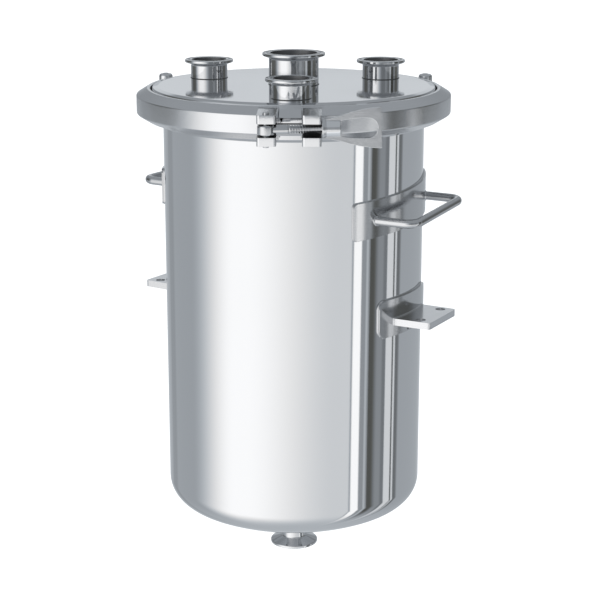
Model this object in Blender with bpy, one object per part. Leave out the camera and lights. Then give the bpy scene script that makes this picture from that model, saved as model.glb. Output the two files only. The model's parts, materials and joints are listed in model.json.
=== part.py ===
"""Small stainless pressure vessel: clamped flat lid with four ports, dished bottom with a drain,
two rod handles and two bracket plates that carry it.

The row frame: the origin lies on the flat underside of the right bracket plate, between its two
bolt holes. +X points outwards along that plate and +Z is up. Sizes are in metres."""

import math

import bmesh
import bpy
from mathutils import Matrix, Vector

MM = 0.001
GAP = 0.3 * MM                  # left between pieces that touch on the real vessel

# Shell, a rolled or drawn tube of nominal bore 250
SHELL_R = 133.7 * MM
SHELL_WALL = 3.0 * MM
SHELL_TOP = -39.5 * MM          # heights are measured from the lid's top face
SHELL_BOTTOM = -418.0 * MM
BORE_R = SHELL_R - SHELL_WALL

# Dished bottom: crown radius equal to the diameter, knuckle a tenth of it
CROWN_R = 2.0 * SHELL_R
KNUCKLE_R = 0.2 * SHELL_R

# Lid, gasket and body flange, held together by the clamp
JOINT_Z = -17.7 * MM
LID_PLATEAU_R = 141.4 * MM
LID_EDGE_DROP = 1.3 * MM
RIM_R = 152.0 * MM
RIM_HALF = 9.8 * MM             # half height of the two rims at RIM_R
RIM_SLOPE = 0.6146              # rise of the wedge faces per unit of radius
LID_RECESS_R = 122.0 * MM
LID_PLATE = 11.0 * MM
GASKET_THICK = 1.0 * MM
GASKET_IN_R = 131.2 * MM
HUB_BOTTOM = -36.6 * MM
HUB_CHAMFER = 2.6 * MM

# Clamp of three segments
BAND_R = 160.4 * MM
BAND_FACE_HALF = 8.95 * MM
LIP_R = 146.0 * MM
LIP_HALF = 17.8 * MM
LIP_THICK = 4.0 * MM
GROOVE_R = 153.2 * MM
GROOVE_HALF = 9.4 * MM
BAND_ROUND = 1.6 * MM
SPLIT_DEG = -62.0               # where the swing bolt closes the clamp
SPLIT_HALF = 11.0 * MM
HINGE_STEP_DEG = 120.0
HINGE_R = 160.0 * MM
KNUCKLE_OUT_R = 7.25 * MM
KNUCKLE_HALF = 18.4 * MM
KNUCKLE_DOME = 3.0 * MM
KNUCKLE_MID = 6.0 * MM
KNUCKLE_CLEAR = 0.4 * MM
HINGE_END_GAP = 0.6 * MM
PIN_R = 3.0 * MM
PIN_BORE_R = 3.15 * MM
PIN_DOME = 1.0 * MM
HINGE_PIN_PROUD = 0.6 * MM

# Lugs, swing bolt and wing nut; offsets run along the bolt from the split plane
LUG_IN = 12.8 * MM
LUG_OUT = 29.8 * MM
LUG_FRONT = 196.0 * MM
LUG_HALF = 15.0 * MM
LUG_ROUND = 2.8 * MM
SLOT_HALF = 5.9 * MM
SLOT_ROOT = 167.0 * MM
BOLT_LINE = 189.0 * MM
PIN_OFFSET = 21.3 * MM
BOLT_PIN_PROUD = 1.4 * MM
BOLT_LEAN_DEG = 1.5             # the bolt rises a little from its pin to its nut
EYE_R = 8.2 * MM
EYE_HALF = 5.1 * MM
SHANK_R = 3.7 * MM
BOLT_END = 45.0 * MM
NUT_GAP = 0.5 * MM
NUT_BASE_R = 9.3 * MM
NUT_BASE_THICK = 2.4 * MM
HUB_R = 8.1 * MM
HUB_END = 47.4 * MM
NUT_BORE_R = 3.95 * MM
WING_START = 39.0 * MM
WING_END = 84.8 * MM
WING_HALF_NEAR = 10.0 * MM
WING_HALF_FAR = 18.9 * MM
WING_THICK = 5.0 * MM
WING_HOLE = (48.2 * MM, 81.4 * MM)
WING_HOLE_HALF = (7.4 * MM, 9.3 * MM)

# Ports: rim radius, tube radius, bore radius, height above the lid
LID_TURN_DEG = -2.0
PORT_CIRCLE = 104.0 * MM
SIDE_PORT = (25.25 * MM, 19.05 * MM, 17.85 * MM, 19.4 * MM)
CENTRE_PORT = (32.0 * MM, 25.4 * MM, 23.9 * MM, 32.2 * MM)
DRAIN_RIM_R = 25.25 * MM
DRAIN_TUBE_R = 12.7 * MM
DRAIN_BORE_R = 11.3 * MM
DRAIN_BOTTOM = -500.6 * MM
FERRULE_RIM = 2.85 * MM
FERRULE_CONE = 0.364            # 20 degree back face

# Handles and brackets. The left pair sits a little round from opposite the right pair.
LEFT_DEG = 176.3
PAD_THICK = 2.5 * MM
HANDLE_PAD = (82.5 * MM, 18.5 * MM, 4.0 * MM)    # half width, half height, corner radius
BRACKET_PAD = (51.5 * MM, 19.5 * MM, 9.0 * MM)
HANDLE_ROD_R = 4.4 * MM
HANDLE_BEND_R = 12.0 * MM
HANDLE_ROOT = 22.0 * MM                          # the rod starts this far inside the pad's face
HANDLES = {                                      # direction, then heights, tilts in degrees, rod size
    "right": {"direction": 0.0, "pad_z": -113.5 * MM, "pad_tilt": 4.2, "rod_z": -116.5 * MM,
              "rod_tilt": 3.4, "half": 55.0 * MM, "reach": 165.0 * MM},
    "left": {"direction": LEFT_DEG, "pad_z": -105.5 * MM, "pad_tilt": 0.0, "rod_z": -107.0 * MM,
             "rod_tilt": 0.0, "half": 50.0 * MM, "reach": 156.0 * MM},
}
BRACKET_TOP = -223.0 * MM
BRACKET_THICK = 7.0 * MM
BRACKET_HALF = 32.5 * MM
BRACKET_REACH = 172.0 * MM
BRACKET_CORNER = 3.0 * MM
BOLT_HOLE_R = 5.0 * MM
BOLT_HOLE_HALF = 23.5 * MM
HOLE_LINE = 158.5 * MM
BRACKET_PAD_RISE = 1.0 * MM                      # the pad's middle above the plate's top face
WEEP_HOLE_R = 2.0 * MM
WEEP_HOLE = (-6.0 * MM, -16.2 * MM)              # sideways and down from the pad's middle

# The vessel's axis and lid face in the row frame
AXIS_X = -HOLE_LINE
LID_Z = BRACKET_THICK - BRACKET_TOP
AXIS_POINT = Vector((AXIS_X, 0.0, LID_Z))

BIG_STEPS = 96
PORT_STEPS = 48
SMALL_STEPS = 32

STEEL = (0.72, 0.73, 0.74)
GASKET_WHITE = (0.80, 0.80, 0.78)


def clear_scene():
    for obj in list(bpy.data.objects):
        bpy.data.objects.remove(obj, do_unlink=True)


def material(name, colour, roughness, metallic):
    mat = bpy.data.materials.new(name)
    mat.use_nodes = True
    shader = mat.node_tree.nodes["Principled BSDF"]
    shader.inputs["Base Color"].default_value = (*colour, 1.0)
    shader.inputs["Metallic"].default_value = metallic
    shader.inputs["Roughness"].default_value = roughness
    mat.diffuse_color = (*colour, 1.0)
    return mat


def bearing(degrees):
    """Outward and sideways unit vectors at an angle round the vessel."""
    a = math.radians(degrees)
    return Vector((math.cos(a), math.sin(a), 0.0)), Vector((-math.sin(a), math.cos(a), 0.0))


def frame_at(degrees):
    """Matrix whose x axis points outwards at an angle and whose y axis runs sideways."""
    return Matrix.Rotation(math.radians(degrees), 4, "Z")


def make_mesh(name, verts, faces):
    mesh = bpy.data.meshes.new(name)
    bm = bmesh.new()
    made = [bm.verts.new(v) for v in verts]
    for face in faces:
        bm.faces.new([made[i] for i in face])
    bmesh.ops.recalc_face_normals(bm, faces=bm.faces)
    bm.to_mesh(mesh)
    bm.free()
    return mesh


def make_object(name, verts, faces):
    """Object in vessel coordinates: z is zero on the lid, and the axis is at x = y = 0."""
    obj = bpy.data.objects.new(name, make_mesh(name, verts, faces))
    bpy.context.scene.collection.objects.link(obj)
    return obj


def bake(obj):
    """Replace an object's mesh with the result of its modifiers."""
    graph = bpy.context.evaluated_depsgraph_get()
    done = bpy.data.meshes.new_from_object(obj.evaluated_get(graph))
    obj.modifiers.clear()
    old = obj.data
    obj.data = done
    bpy.data.meshes.remove(old)
    obj.data.name = obj.name


def combine(obj, tools, operation):
    """Boolean union or difference with each tool, which is used up."""
    for tool in tools:
        mod = obj.modifiers.new(operation.lower(), "BOOLEAN")
        mod.operation = operation
        mod.solver = "EXACT"
        mod.object = tool
        bake(obj)
        bpy.data.objects.remove(tool, do_unlink=True)
    return obj


def finish(obj, roughness=0.18, colour=STEEL, metallic=1.0, pivot=None, sharp_deg=32.0):
    """Move a piece into the row frame, give it its material and shade it."""
    shift = AXIS_POINT.copy()
    if pivot is not None:
        obj.location = pivot + AXIS_POINT
        shift = -pivot
    obj.data.transform(Matrix.Translation(shift))
    bm = bmesh.new()
    bm.from_mesh(obj.data)
    bmesh.ops.remove_doubles(bm, verts=bm.verts, dist=0.000005)
    bmesh.ops.dissolve_degenerate(bm, dist=0.000005, edges=bm.edges)
    bmesh.ops.recalc_face_normals(bm, faces=bm.faces)
    bm.to_mesh(obj.data)
    bm.free()
    obj.data.shade_smooth()
    obj.data.set_sharp_from_angle(angle=math.radians(sharp_deg))
    obj.data.materials.clear()
    obj.data.materials.append(material(obj.name, colour, roughness, metallic))
    return obj


def rounded(profile, corners, radius, parts=3):
    """Round the listed corners of a closed (r, z) profile."""
    out = []
    count = len(profile)
    for i, point in enumerate(profile):
        here = Vector(point)
        if i not in corners:
            out.append(tuple(here))
            continue
        before = (Vector(profile[i - 1]) - here).normalized()
        after = (Vector(profile[(i + 1) % count]) - here).normalized()
        half = before.angle(after) / 2.0
        reach = radius / math.tan(half)
        centre = here + (before + after).normalized() * (radius / math.sin(half))
        first = here + before * reach - centre
        last = here + after * reach - centre
        sweep = first.angle_signed(last)
        for k in range(parts + 1):
            turn = Matrix.Rotation(-sweep * k / parts, 2)
            out.append(tuple(centre + turn @ first))
    return out


def lathe(name, profile, steps, start=None, end=None):
    """Turn a closed (r, z) profile about the axis, all round or between two angles."""
    full = start is None
    if full:
        start, end = 0.0, 360.0
    rings = steps if full else steps + 1
    verts, faces = [], []
    count = len(profile)
    for i in range(rings):
        a = math.radians(start + (end - start) * i / steps)
        verts += [(r * math.cos(a), r * math.sin(a), z) for r, z in profile]
    for i in range(steps):
        here = i * count
        there = ((i + 1) % rings) * count
        for k in range(count):
            m = (k + 1) % count
            faces.append((here + k, there + k, there + m, here + m))
    if not full:
        faces.append(tuple(range(count)))
        faces.append(tuple(range((rings - 1) * count, rings * count)))
    return make_object(name, verts, faces)


def rod(name, radius, low, high, steps=SMALL_STEPS, domes=(0.0, 0.0)):
    """Upright cylinder on the axis between two heights; domes are the depths of its rounded ends."""
    rings = [(radius, low + domes[0]), (radius, high - domes[1])]
    if domes[0] > 0.0:
        rings = [(radius * 0.55, low), (radius * 0.86, low + domes[0] * 0.3)] + rings
    if domes[1] > 0.0:
        rings += [(radius * 0.86, high - domes[1] * 0.3), (radius * 0.55, high)]
    verts, faces = [], []
    for r, z in rings:
        for i in range(steps):
            a = 2.0 * math.pi * i / steps
            verts.append((r * math.cos(a), r * math.sin(a), z))
    for k in range(len(rings) - 1):
        for i in range(steps):
            j = (i + 1) % steps
            faces.append((k * steps + i, k * steps + j, (k + 1) * steps + j, (k + 1) * steps + i))
    faces.append(tuple(range(steps)))
    faces.append(tuple(range((len(rings) - 1) * steps, len(rings) * steps)))
    return make_object(name, verts, faces)


def prism(name, outline, low, high):
    """Upright prism over a closed (x, y) outline."""
    count = len(outline)
    verts = [(x, y, low) for x, y in outline] + [(x, y, high) for x, y in outline]
    faces = [tuple(range(count)), tuple(range(count, 2 * count))]
    for i in range(count):
        j = (i + 1) % count
        faces.append((i, j, count + j, count + i))
    return make_object(name, verts, faces)


def turned(obj, matrix):
    obj.data.transform(matrix)
    return obj


def shell():
    profile = [(BORE_R, SHELL_TOP), (SHELL_R, SHELL_TOP), (SHELL_R, SHELL_BOTTOM), (BORE_R, SHELL_BOTTOM)]
    return finish(lathe("shell", profile, BIG_STEPS), roughness=0.12)


def dish_curve(offset, r_stop, parts):
    """Half profile of the dished bottom from its top edge in to r_stop, set in by offset."""
    centre_r = SHELL_R - KNUCKLE_R
    crown_angle = math.asin(centre_r / (CROWN_R - KNUCKLE_R))
    crown_z = SHELL_BOTTOM - GAP + math.sqrt((CROWN_R - KNUCKLE_R) ** 2 - centre_r ** 2)
    points = []
    for i in range(parts + 1):
        a = (math.pi / 2.0 - crown_angle) * i / parts
        r = KNUCKLE_R - offset
        points.append((centre_r + r * math.cos(a), SHELL_BOTTOM - GAP - r * math.sin(a)))
    crown = CROWN_R - offset
    stop = math.asin(r_stop / crown)
    for i in range(1, parts + 1):
        a = crown_angle + (stop - crown_angle) * i / parts
        points.append((crown * math.sin(a), crown_z - crown * math.cos(a)))
    return points


def bottom_head():
    outer = dish_curve(0.0, DRAIN_BORE_R, 5)
    inner = dish_curve(SHELL_WALL, DRAIN_BORE_R, 5)
    return finish(lathe("bottom_head", outer + inner[::-1], BIG_STEPS), roughness=0.14)


def body_flange():
    top = JOINT_Z - GASKET_THICK / 2.0 - GAP
    plateau_z = JOINT_Z - RIM_HALF - (RIM_R - LID_PLATEAU_R) * RIM_SLOPE
    profile = [(BORE_R, top), (RIM_R, top), (RIM_R, JOINT_Z - RIM_HALF), (LID_PLATEAU_R, plateau_z),
               (LID_PLATEAU_R, HUB_BOTTOM), (LID_PLATEAU_R - HUB_CHAMFER, HUB_BOTTOM - HUB_CHAMFER),
               (BORE_R, HUB_BOTTOM - HUB_CHAMFER)]
    return finish(lathe("body_flange", profile, BIG_STEPS), roughness=0.2)


def lid_gasket():
    half = GASKET_THICK / 2.0
    profile = [(GASKET_IN_R, JOINT_Z - half), (RIM_R, JOINT_Z - half), (RIM_R, JOINT_Z + half),
               (GASKET_IN_R, JOINT_Z + half)]
    return finish(lathe("lid_gasket", profile, BIG_STEPS), roughness=0.5, colour=GASKET_WHITE, metallic=0.0)


def port_places():
    """Direction and offset of the four port axes on the lid."""
    places = {"port_front": -60.0, "port_right": 60.0, "port_left": 180.0}
    return {name: bearing(deg + LID_TURN_DEG)[0] * PORT_CIRCLE for name, deg in places.items()}


def lid():
    bottom = JOINT_Z + GASKET_THICK / 2.0 + GAP
    low_edge = JOINT_Z + RIM_HALF + (RIM_R - LID_PLATEAU_R) * RIM_SLOPE
    profile = [(CENTRE_PORT[2], 0.0), (CENTRE_PORT[2], -LID_PLATE), (LID_RECESS_R, -LID_PLATE),
               (LID_RECESS_R, bottom), (RIM_R, bottom), (RIM_R, JOINT_Z + RIM_HALF),
               (LID_PLATEAU_R, low_edge), (LID_PLATEAU_R, -LID_EDGE_DROP * 0.4),
               (LID_PLATEAU_R - LID_EDGE_DROP * 0.4, 0.0)]
    body = lathe("lid", profile, BIG_STEPS)
    cutters = []
    for place in port_places().values():
        cutter = rod("cutter", SIDE_PORT[2], -2.0 * LID_PLATE, LID_PLATE, PORT_STEPS)
        cutters.append(turned(cutter, Matrix.Translation(place)))
    return finish(combine(body, cutters, "DIFFERENCE"), roughness=0.08)


def ferrule_profile(rim_r, tube_r, bore_r, base, top):
    """Closed profile of a tube with a clamp ferrule at its top end."""
    back = top - FERRULE_RIM
    cone = back - (rim_r - tube_r) * FERRULE_CONE
    return [(bore_r, base), (tube_r, base), (tube_r, cone - 0.8 * MM), (tube_r + 0.8 * MM, cone + 0.2 * MM),
            (rim_r - 0.5 * MM, back), (rim_r, back + 0.5 * MM), (rim_r, top - 0.4 * MM),
            (rim_r - 0.4 * MM, top), (bore_r, top)]


def ports():
    made = []
    for name, place in port_places().items():
        rim_r, tube_r, bore_r, height = SIDE_PORT
        piece = lathe(name, ferrule_profile(rim_r, tube_r, bore_r, GAP, height), PORT_STEPS)
        made.append(finish(turned(piece, Matrix.Translation(place)), roughness=0.12))
    rim_r, tube_r, bore_r, height = CENTRE_PORT
    piece = lathe("port_centre", ferrule_profile(rim_r, tube_r, bore_r, GAP, height), PORT_STEPS)
    made.append(finish(piece, roughness=0.12))
    return made


def drain_port():
    base = dish_curve(0.0, DRAIN_TUBE_R, 4)[-1][1] - 2.0 * GAP
    profile = ferrule_profile(DRAIN_RIM_R, DRAIN_TUBE_R, DRAIN_BORE_R, -base, -DRAIN_BOTTOM)
    flipped = [(r, -z) for r, z in profile]
    return finish(lathe("drain_port", flipped, PORT_STEPS), roughness=0.14)


def band_profile():
    half = [(GROOVE_R, GROOVE_HALF), (LIP_R, LIP_HALF - LIP_THICK), (LIP_R, LIP_HALF),
            (BAND_R, BAND_FACE_HALF)]
    outline = half + [(r, -z) for r, z in half[::-1]]
    outline = rounded(outline, (3, 4), BAND_ROUND)
    return [(r, z + JOINT_Z) for r, z in outline]


def lug(side, pin_bore):
    """Forked lug beside the split; side is +1 to the right of the bolt's split and -1 to the left."""
    half = [(155.0 * MM, 9.6 * MM), (147.5 * MM, 13.9 * MM), (147.5 * MM, LUG_HALF),
            (LUG_FRONT, LUG_HALF), (LUG_FRONT, SLOT_HALF), (SLOT_ROOT, SLOT_HALF)]
    outline = half + [(r, -z) for r, z in half[::-1]]
    near, far = side * LUG_IN, side * LUG_OUT
    count = len(outline)
    verts = [(r, near, z + JOINT_Z) for r, z in outline] + [(r, far, z + JOINT_Z) for r, z in outline]
    faces = [tuple(range(count)), tuple(range(count, 2 * count))]
    faces += [(i, (i + 1) % count, count + (i + 1) % count, count + i) for i in range(count)]
    piece = make_object("lug", verts, faces)
    bm = bmesh.new()
    bm.from_mesh(piece.data)
    edges = [e for e in bm.edges
             if all(abs(v.co.x - LUG_FRONT) < 1e-6 for v in e.verts)
             and abs(e.verts[0].co.y - e.verts[1].co.y) < 1e-6]
    bmesh.ops.bevel(bm, geom=edges, offset=LUG_ROUND, segments=4, profile=0.5, affect="EDGES")
    bm.to_mesh(piece.data)
    bm.free()
    if pin_bore:
        cutter = rod("cutter", PIN_BORE_R, JOINT_Z - 2.0 * LUG_HALF, JOINT_Z + 2.0 * LUG_HALF)
        turned(cutter, Matrix.Translation((BOLT_LINE, side * PIN_OFFSET, 0.0)))
        combine(piece, [cutter], "DIFFERENCE")
    return turned(piece, frame_at(SPLIT_DEG))


def hinge_tool(degrees, radius, low, high, domes=(0.0, 0.0)):
    """Upright round piece at a hinge, between two heights from the clamp's middle."""
    piece = rod("tool", radius, JOINT_Z + low, JOINT_Z + high, SMALL_STEPS, domes)
    return turned(piece, Matrix.Translation(bearing(degrees)[0] * HINGE_R))


def front_segment(name, side):
    """Front clamp segment from the split to its rear hinge."""
    hinge = SPLIT_DEG + side * HINGE_STEP_DEG
    split_turn = math.degrees(SPLIT_HALF / LIP_R) * 0.97
    end_turn = math.degrees(HINGE_END_GAP / HINGE_R)
    angles = sorted((SPLIT_DEG + side * split_turn, hinge - side * end_turn))
    band = lathe(name, band_profile(), 38, *angles)
    combine(band, [lug(side, side < 0)], "UNION")
    low = KNUCKLE_MID + GAP
    knuckles = [hinge_tool(hinge, KNUCKLE_OUT_R, low, KNUCKLE_HALF, (0.0, KNUCKLE_DOME)),
                hinge_tool(hinge, KNUCKLE_OUT_R, -KNUCKLE_HALF, -low, (KNUCKLE_DOME, 0.0))]
    combine(band, knuckles, "UNION")
    notch = hinge_tool(hinge, KNUCKLE_OUT_R + KNUCKLE_CLEAR, -low, low)
    bore = hinge_tool(hinge, PIN_BORE_R, -2.0 * KNUCKLE_HALF, 2.0 * KNUCKLE_HALF)
    combine(band, [notch, bore], "DIFFERENCE")
    return finish(band, roughness=0.16)


def rear_segment():
    """Rear clamp segment between the two hinges."""
    turn = math.degrees(HINGE_END_GAP / HINGE_R)
    start = SPLIT_DEG + HINGE_STEP_DEG
    end = SPLIT_DEG + 360.0 - HINGE_STEP_DEG
    band = lathe("clamp_rear", band_profile(), 38, start + turn, end - turn)
    for hinge in (start, end):
        combine(band, [hinge_tool(hinge, KNUCKLE_OUT_R, -KNUCKLE_MID, KNUCKLE_MID)], "UNION")
        outer = KNUCKLE_OUT_R + KNUCKLE_CLEAR
        cutters = [hinge_tool(hinge, outer, KNUCKLE_MID, 2.0 * KNUCKLE_HALF),
                   hinge_tool(hinge, outer, -2.0 * KNUCKLE_HALF, -KNUCKLE_MID),
                   hinge_tool(hinge, PIN_BORE_R, -2.0 * KNUCKLE_HALF, 2.0 * KNUCKLE_HALF)]
        combine(band, cutters, "DIFFERENCE")
    return finish(band, roughness=0.16)


def hinge_pins():
    reach = KNUCKLE_HALF + HINGE_PIN_PROUD
    for name, side in (("hinge_pin_right", 1.0), ("hinge_pin_left", -1.0)):
        piece = hinge_tool(SPLIT_DEG + side * HINGE_STEP_DEG, PIN_R, -reach, reach, (PIN_DOME, PIN_DOME))
        piece.name = name
        finish(piece, roughness=0.2)


def bolt_pivot():
    out, along = bearing(SPLIT_DEG)
    return out * BOLT_LINE - along * PIN_OFFSET + Vector((0.0, 0.0, JOINT_Z))


def along_bolt():
    """Matrix that lays an upright piece along the bolt: its z runs from the split plane to the right."""
    lay = Matrix(((0.0, -1.0, 0.0, 0.0), (0.0, 0.0, 1.0, PIN_OFFSET), (-1.0, 0.0, 0.0, 0.0),
                  (0.0, 0.0, 0.0, 1.0)))
    lean = Matrix.Rotation(math.radians(BOLT_LEAN_DEG), 4, "X")
    return Matrix.Translation(bolt_pivot()) @ frame_at(SPLIT_DEG) @ lean @ lay


def swing_bolt():
    eye = rod("swing_bolt", EYE_R, JOINT_Z - EYE_HALF, JOINT_Z + EYE_HALF)
    turned(eye, frame_at(SPLIT_DEG) @ Matrix.Translation((BOLT_LINE, -PIN_OFFSET, 0.0)))
    shank = turned(rod("shank", SHANK_R, -PIN_OFFSET + 0.6 * EYE_R, BOLT_END), along_bolt())
    combine(eye, [shank], "UNION")
    bore = rod("cutter", PIN_BORE_R, JOINT_Z - 3.0 * EYE_HALF, JOINT_Z + 3.0 * EYE_HALF)
    turned(bore, frame_at(SPLIT_DEG) @ Matrix.Translation((BOLT_LINE, -PIN_OFFSET, 0.0)))
    combine(eye, [bore], "DIFFERENCE")
    return finish(eye, roughness=0.2, pivot=bolt_pivot())


def swing_bolt_pin():
    reach = LUG_HALF + BOLT_PIN_PROUD
    pin = rod("swing_bolt_pin", PIN_R, JOINT_Z - reach, JOINT_Z + reach, SMALL_STEPS, (PIN_DOME, PIN_DOME))
    turned(pin, frame_at(SPLIT_DEG) @ Matrix.Translation((BOLT_LINE, -PIN_OFFSET, 0.0)))
    return finish(pin, roughness=0.2)


def wing_outline():
    """Fan outline of the wing, as (height, distance along the bolt)."""
    side = [(WING_HALF_NEAR, WING_START), (0.62 * WING_HALF_FAR, 47.0 * MM), (0.80 * WING_HALF_FAR, 58.0 * MM),
            (0.92 * WING_HALF_FAR, 70.0 * MM), (WING_HALF_FAR, WING_END - 1.5 * MM),
            (WING_HALF_FAR - 1.5 * MM, WING_END)]
    return side + [(-h, d) for h, d in side[::-1]]


def wing_hole_outline():
    """Rounded opening in the wing, flat at the hub and bowed at its far end."""
    near, far = WING_HOLE
    low, high = WING_HOLE_HALF
    bow = far - high
    points = [(low, near), (high, near + 0.55 * (bow - near))]
    parts = 10
    for i in range(parts + 1):
        a = math.pi / 2.0 - math.pi * i / parts
        points.append((high * math.sin(a), bow + high * math.cos(a)))
    points += [(-high, near + 0.55 * (bow - near)), (-low, near)]
    return points


def slab(name, outline, thick):
    """Flat piece in the plane of the bolt's line, from (height, distance) points."""
    count = len(outline)
    verts = [(h, -thick / 2.0, d) for h, d in outline] + [(h, thick / 2.0, d) for h, d in outline]
    faces = [tuple(range(count)), tuple(range(count, 2 * count))]
    faces += [(i, (i + 1) % count, count + (i + 1) % count, count + i) for i in range(count)]
    return make_object(name, verts, faces)


def wing_nut():
    base = LUG_OUT + NUT_GAP
    core = 0.4 * NUT_BORE_R         # the bore is opened to its size last, through hub and wing
    profile = [(core, base), (NUT_BASE_R, base), (NUT_BASE_R, base + 0.6 * NUT_BASE_THICK),
               (HUB_R, base + 1.6 * NUT_BASE_THICK), (HUB_R, HUB_END - 1.0 * MM),
               (HUB_R - 1.0 * MM, HUB_END), (core, HUB_END)]
    nut = lathe("wing_nut", profile, SMALL_STEPS)
    wing = slab("wing", wing_outline(), WING_THICK)
    combine(nut, [wing], "UNION")
    hole = slab("hole", wing_hole_outline(), 4.0 * WING_THICK)
    bore = rod("bore", NUT_BORE_R, base - 1.0 * MM, HUB_END + 1.0 * MM)
    combine(nut, [hole, bore], "DIFFERENCE")
    turned(nut, along_bolt())
    return finish(nut, roughness=0.16, pivot=along_bolt() @ Vector((0.0, 0.0, base)))


def wrapped_pad(name, degrees, height, tilt, size):
    """Rolled plate against the shell, with rounded corners and an optional tilt."""
    half_width, half_height, corner = size
    inner = SHELL_R + GAP
    outer = inner + PAD_THICK
    ends = [corner * (1.0 - math.cos(math.radians(a))) for a in (0, 30, 60, 90)]
    drops = [corner * (1.0 - math.sin(math.radians(a))) for a in (0, 30, 60, 90)]
    columns = [(-half_width + e, half_height - d) for e, d in zip(ends, drops)]
    inner_half = half_width - corner
    middle = 14
    columns += [(-inner_half + 2.0 * inner_half * i / middle, half_height) for i in range(1, middle)]
    columns += [(half_width - e, half_height - d) for e, d in list(zip(ends, drops))[::-1]]
    slope = math.tan(math.radians(tilt))
    verts, faces = [], []
    for s, h in columns:
        a = math.radians(degrees) + s / SHELL_R
        for r in (inner, outer):
            for z in (height - h, height + h):
                verts.append((r * math.cos(a), r * math.sin(a), z + s * slope))
    count = len(columns)
    for i in range(count - 1):
        a, b = 4 * i, 4 * (i + 1)
        faces += [(a, a + 1, b + 1, b), (a + 2, b + 2, b + 3, a + 3), (a, b, b + 2, a + 2),
                  (a + 1, a + 3, b + 3, b + 1)]
    last = 4 * (count - 1)
    faces += [(0, 2, 3, 1), (last, last + 1, last + 3, last + 2)]
    return make_object(name, verts, faces)


def pad_outer():
    return SHELL_R + GAP + PAD_THICK


def handle_path(half, reach):
    """Centre line of the rod: out from the pad, across and back, as (outward, sideways)."""
    corner = HANDLE_BEND_R
    root = pad_outer() - HANDLE_ROOT
    path = [(root, -half)]
    parts = 6
    for side, first, last in ((-1.0, -90.0, 0.0), (1.0, 0.0, 90.0)):
        centre = (reach - corner, side * (half - corner))
        for i in range(parts + 1):
            a = math.radians(first + (last - first) * i / parts)
            path.append((centre[0] + corner * math.cos(a), centre[1] + corner * math.sin(a)))
    path.append((root, half))
    return [Vector((x, y, 0.0)) for x, y in path]


def sweep(name, path, radius, steps):
    """Round rod along a flat path."""
    verts, faces = [], []
    count = len(path)
    for i, point in enumerate(path):
        before = (point - path[i - 1]).normalized() if i else (path[1] - point).normalized()
        after = (path[i + 1] - point).normalized() if i < count - 1 else before
        tangent = (before + after).normalized()
        side = tangent.cross(Vector((0.0, 0.0, 1.0))).normalized()
        stretch = 1.0 / max(tangent.dot(before), 0.5)
        for k in range(steps):
            a = 2.0 * math.pi * k / steps
            verts.append(tuple(point + side * (radius * stretch * math.cos(a))
                               + Vector((0.0, 0.0, radius * math.sin(a)))))
    for i in range(count - 1):
        for k in range(steps):
            m = (k + 1) % steps
            faces.append((i * steps + k, i * steps + m, (i + 1) * steps + m, (i + 1) * steps + k))
    faces.append(tuple(range(steps)))
    faces.append(tuple(range((count - 1) * steps, count * steps)))
    return make_object(name, verts, faces)


def handle(name, sizes):
    height = sizes["rod_z"]
    half = sizes["half"]
    bar = sweep(name, handle_path(half, sizes["reach"]), HANDLE_ROD_R, 16)
    turned(bar, Matrix.Rotation(math.radians(sizes["rod_tilt"]), 4, "X"))
    turned(bar, frame_at(sizes["direction"]) @ Matrix.Translation((0.0, 0.0, height)))
    cutter = rod("cutter", pad_outer() + GAP, height - half, height + half, BIG_STEPS)
    combine(bar, [cutter], "DIFFERENCE")
    return finish(bar, roughness=0.2)


def bracket_plate(name, degrees):
    """Flat plate standing out from its pad, with two bolt holes."""
    inner = pad_outer() + GAP
    corner = BRACKET_CORNER
    outline = []
    parts = 12
    span = math.asin(BRACKET_HALF / inner)
    for i in range(parts + 1):
        a = span - 2.0 * span * i / parts
        outline.append((inner * math.cos(a), inner * math.sin(a)))
    for side, first, last in ((-1.0, -90.0, 0.0), (1.0, 0.0, 90.0)):
        centre = (BRACKET_REACH - corner, side * (BRACKET_HALF - corner))
        for i in range(5):
            a = math.radians(first + (last - first) * i / 4)
            outline.append((centre[0] + corner * math.cos(a), centre[1] + corner * math.sin(a)))
    plate = prism(name, outline, BRACKET_TOP - BRACKET_THICK, BRACKET_TOP)
    cutters = []
    for side in (-1.0, 1.0):
        cutter = rod("cutter", BOLT_HOLE_R, BRACKET_TOP - 2.0 * BRACKET_THICK, BRACKET_TOP + BRACKET_THICK)
        cutters.append(turned(cutter, Matrix.Translation((HOLE_LINE, side * BOLT_HOLE_HALF, 0.0))))
    combine(plate, cutters, "DIFFERENCE")
    turned(plate, frame_at(degrees))
    return finish(plate, roughness=0.25)


def bracket_pad(name, degrees):
    mid = BRACKET_TOP + BRACKET_PAD_RISE
    across, down = WEEP_HOLE
    pad = wrapped_pad(name, degrees, mid, 0.0, BRACKET_PAD)
    cutter = rod("cutter", WEEP_HOLE_R, SHELL_R - 10.0 * MM, SHELL_R + 10.0 * MM, 16)
    lay = Matrix(((0.0, 0.0, 1.0, 0.0), (0.0, 1.0, 0.0, across), (-1.0, 0.0, 0.0, mid + down),
                  (0.0, 0.0, 0.0, 1.0)))
    turned(cutter, frame_at(degrees) @ lay)
    return finish(combine(pad, [cutter], "DIFFERENCE"), roughness=0.2)


def handles_and_brackets():
    for side, sizes in HANDLES.items():
        turn = sizes["direction"]
        pad = wrapped_pad("handle_pad_" + side, turn, sizes["pad_z"], sizes["pad_tilt"], HANDLE_PAD)
        finish(pad, roughness=0.15)
        handle("handle_" + side, sizes)
        bracket_pad("bracket_pad_" + side, turn)
        bracket_plate("bracket_plate_" + side, turn)


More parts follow.
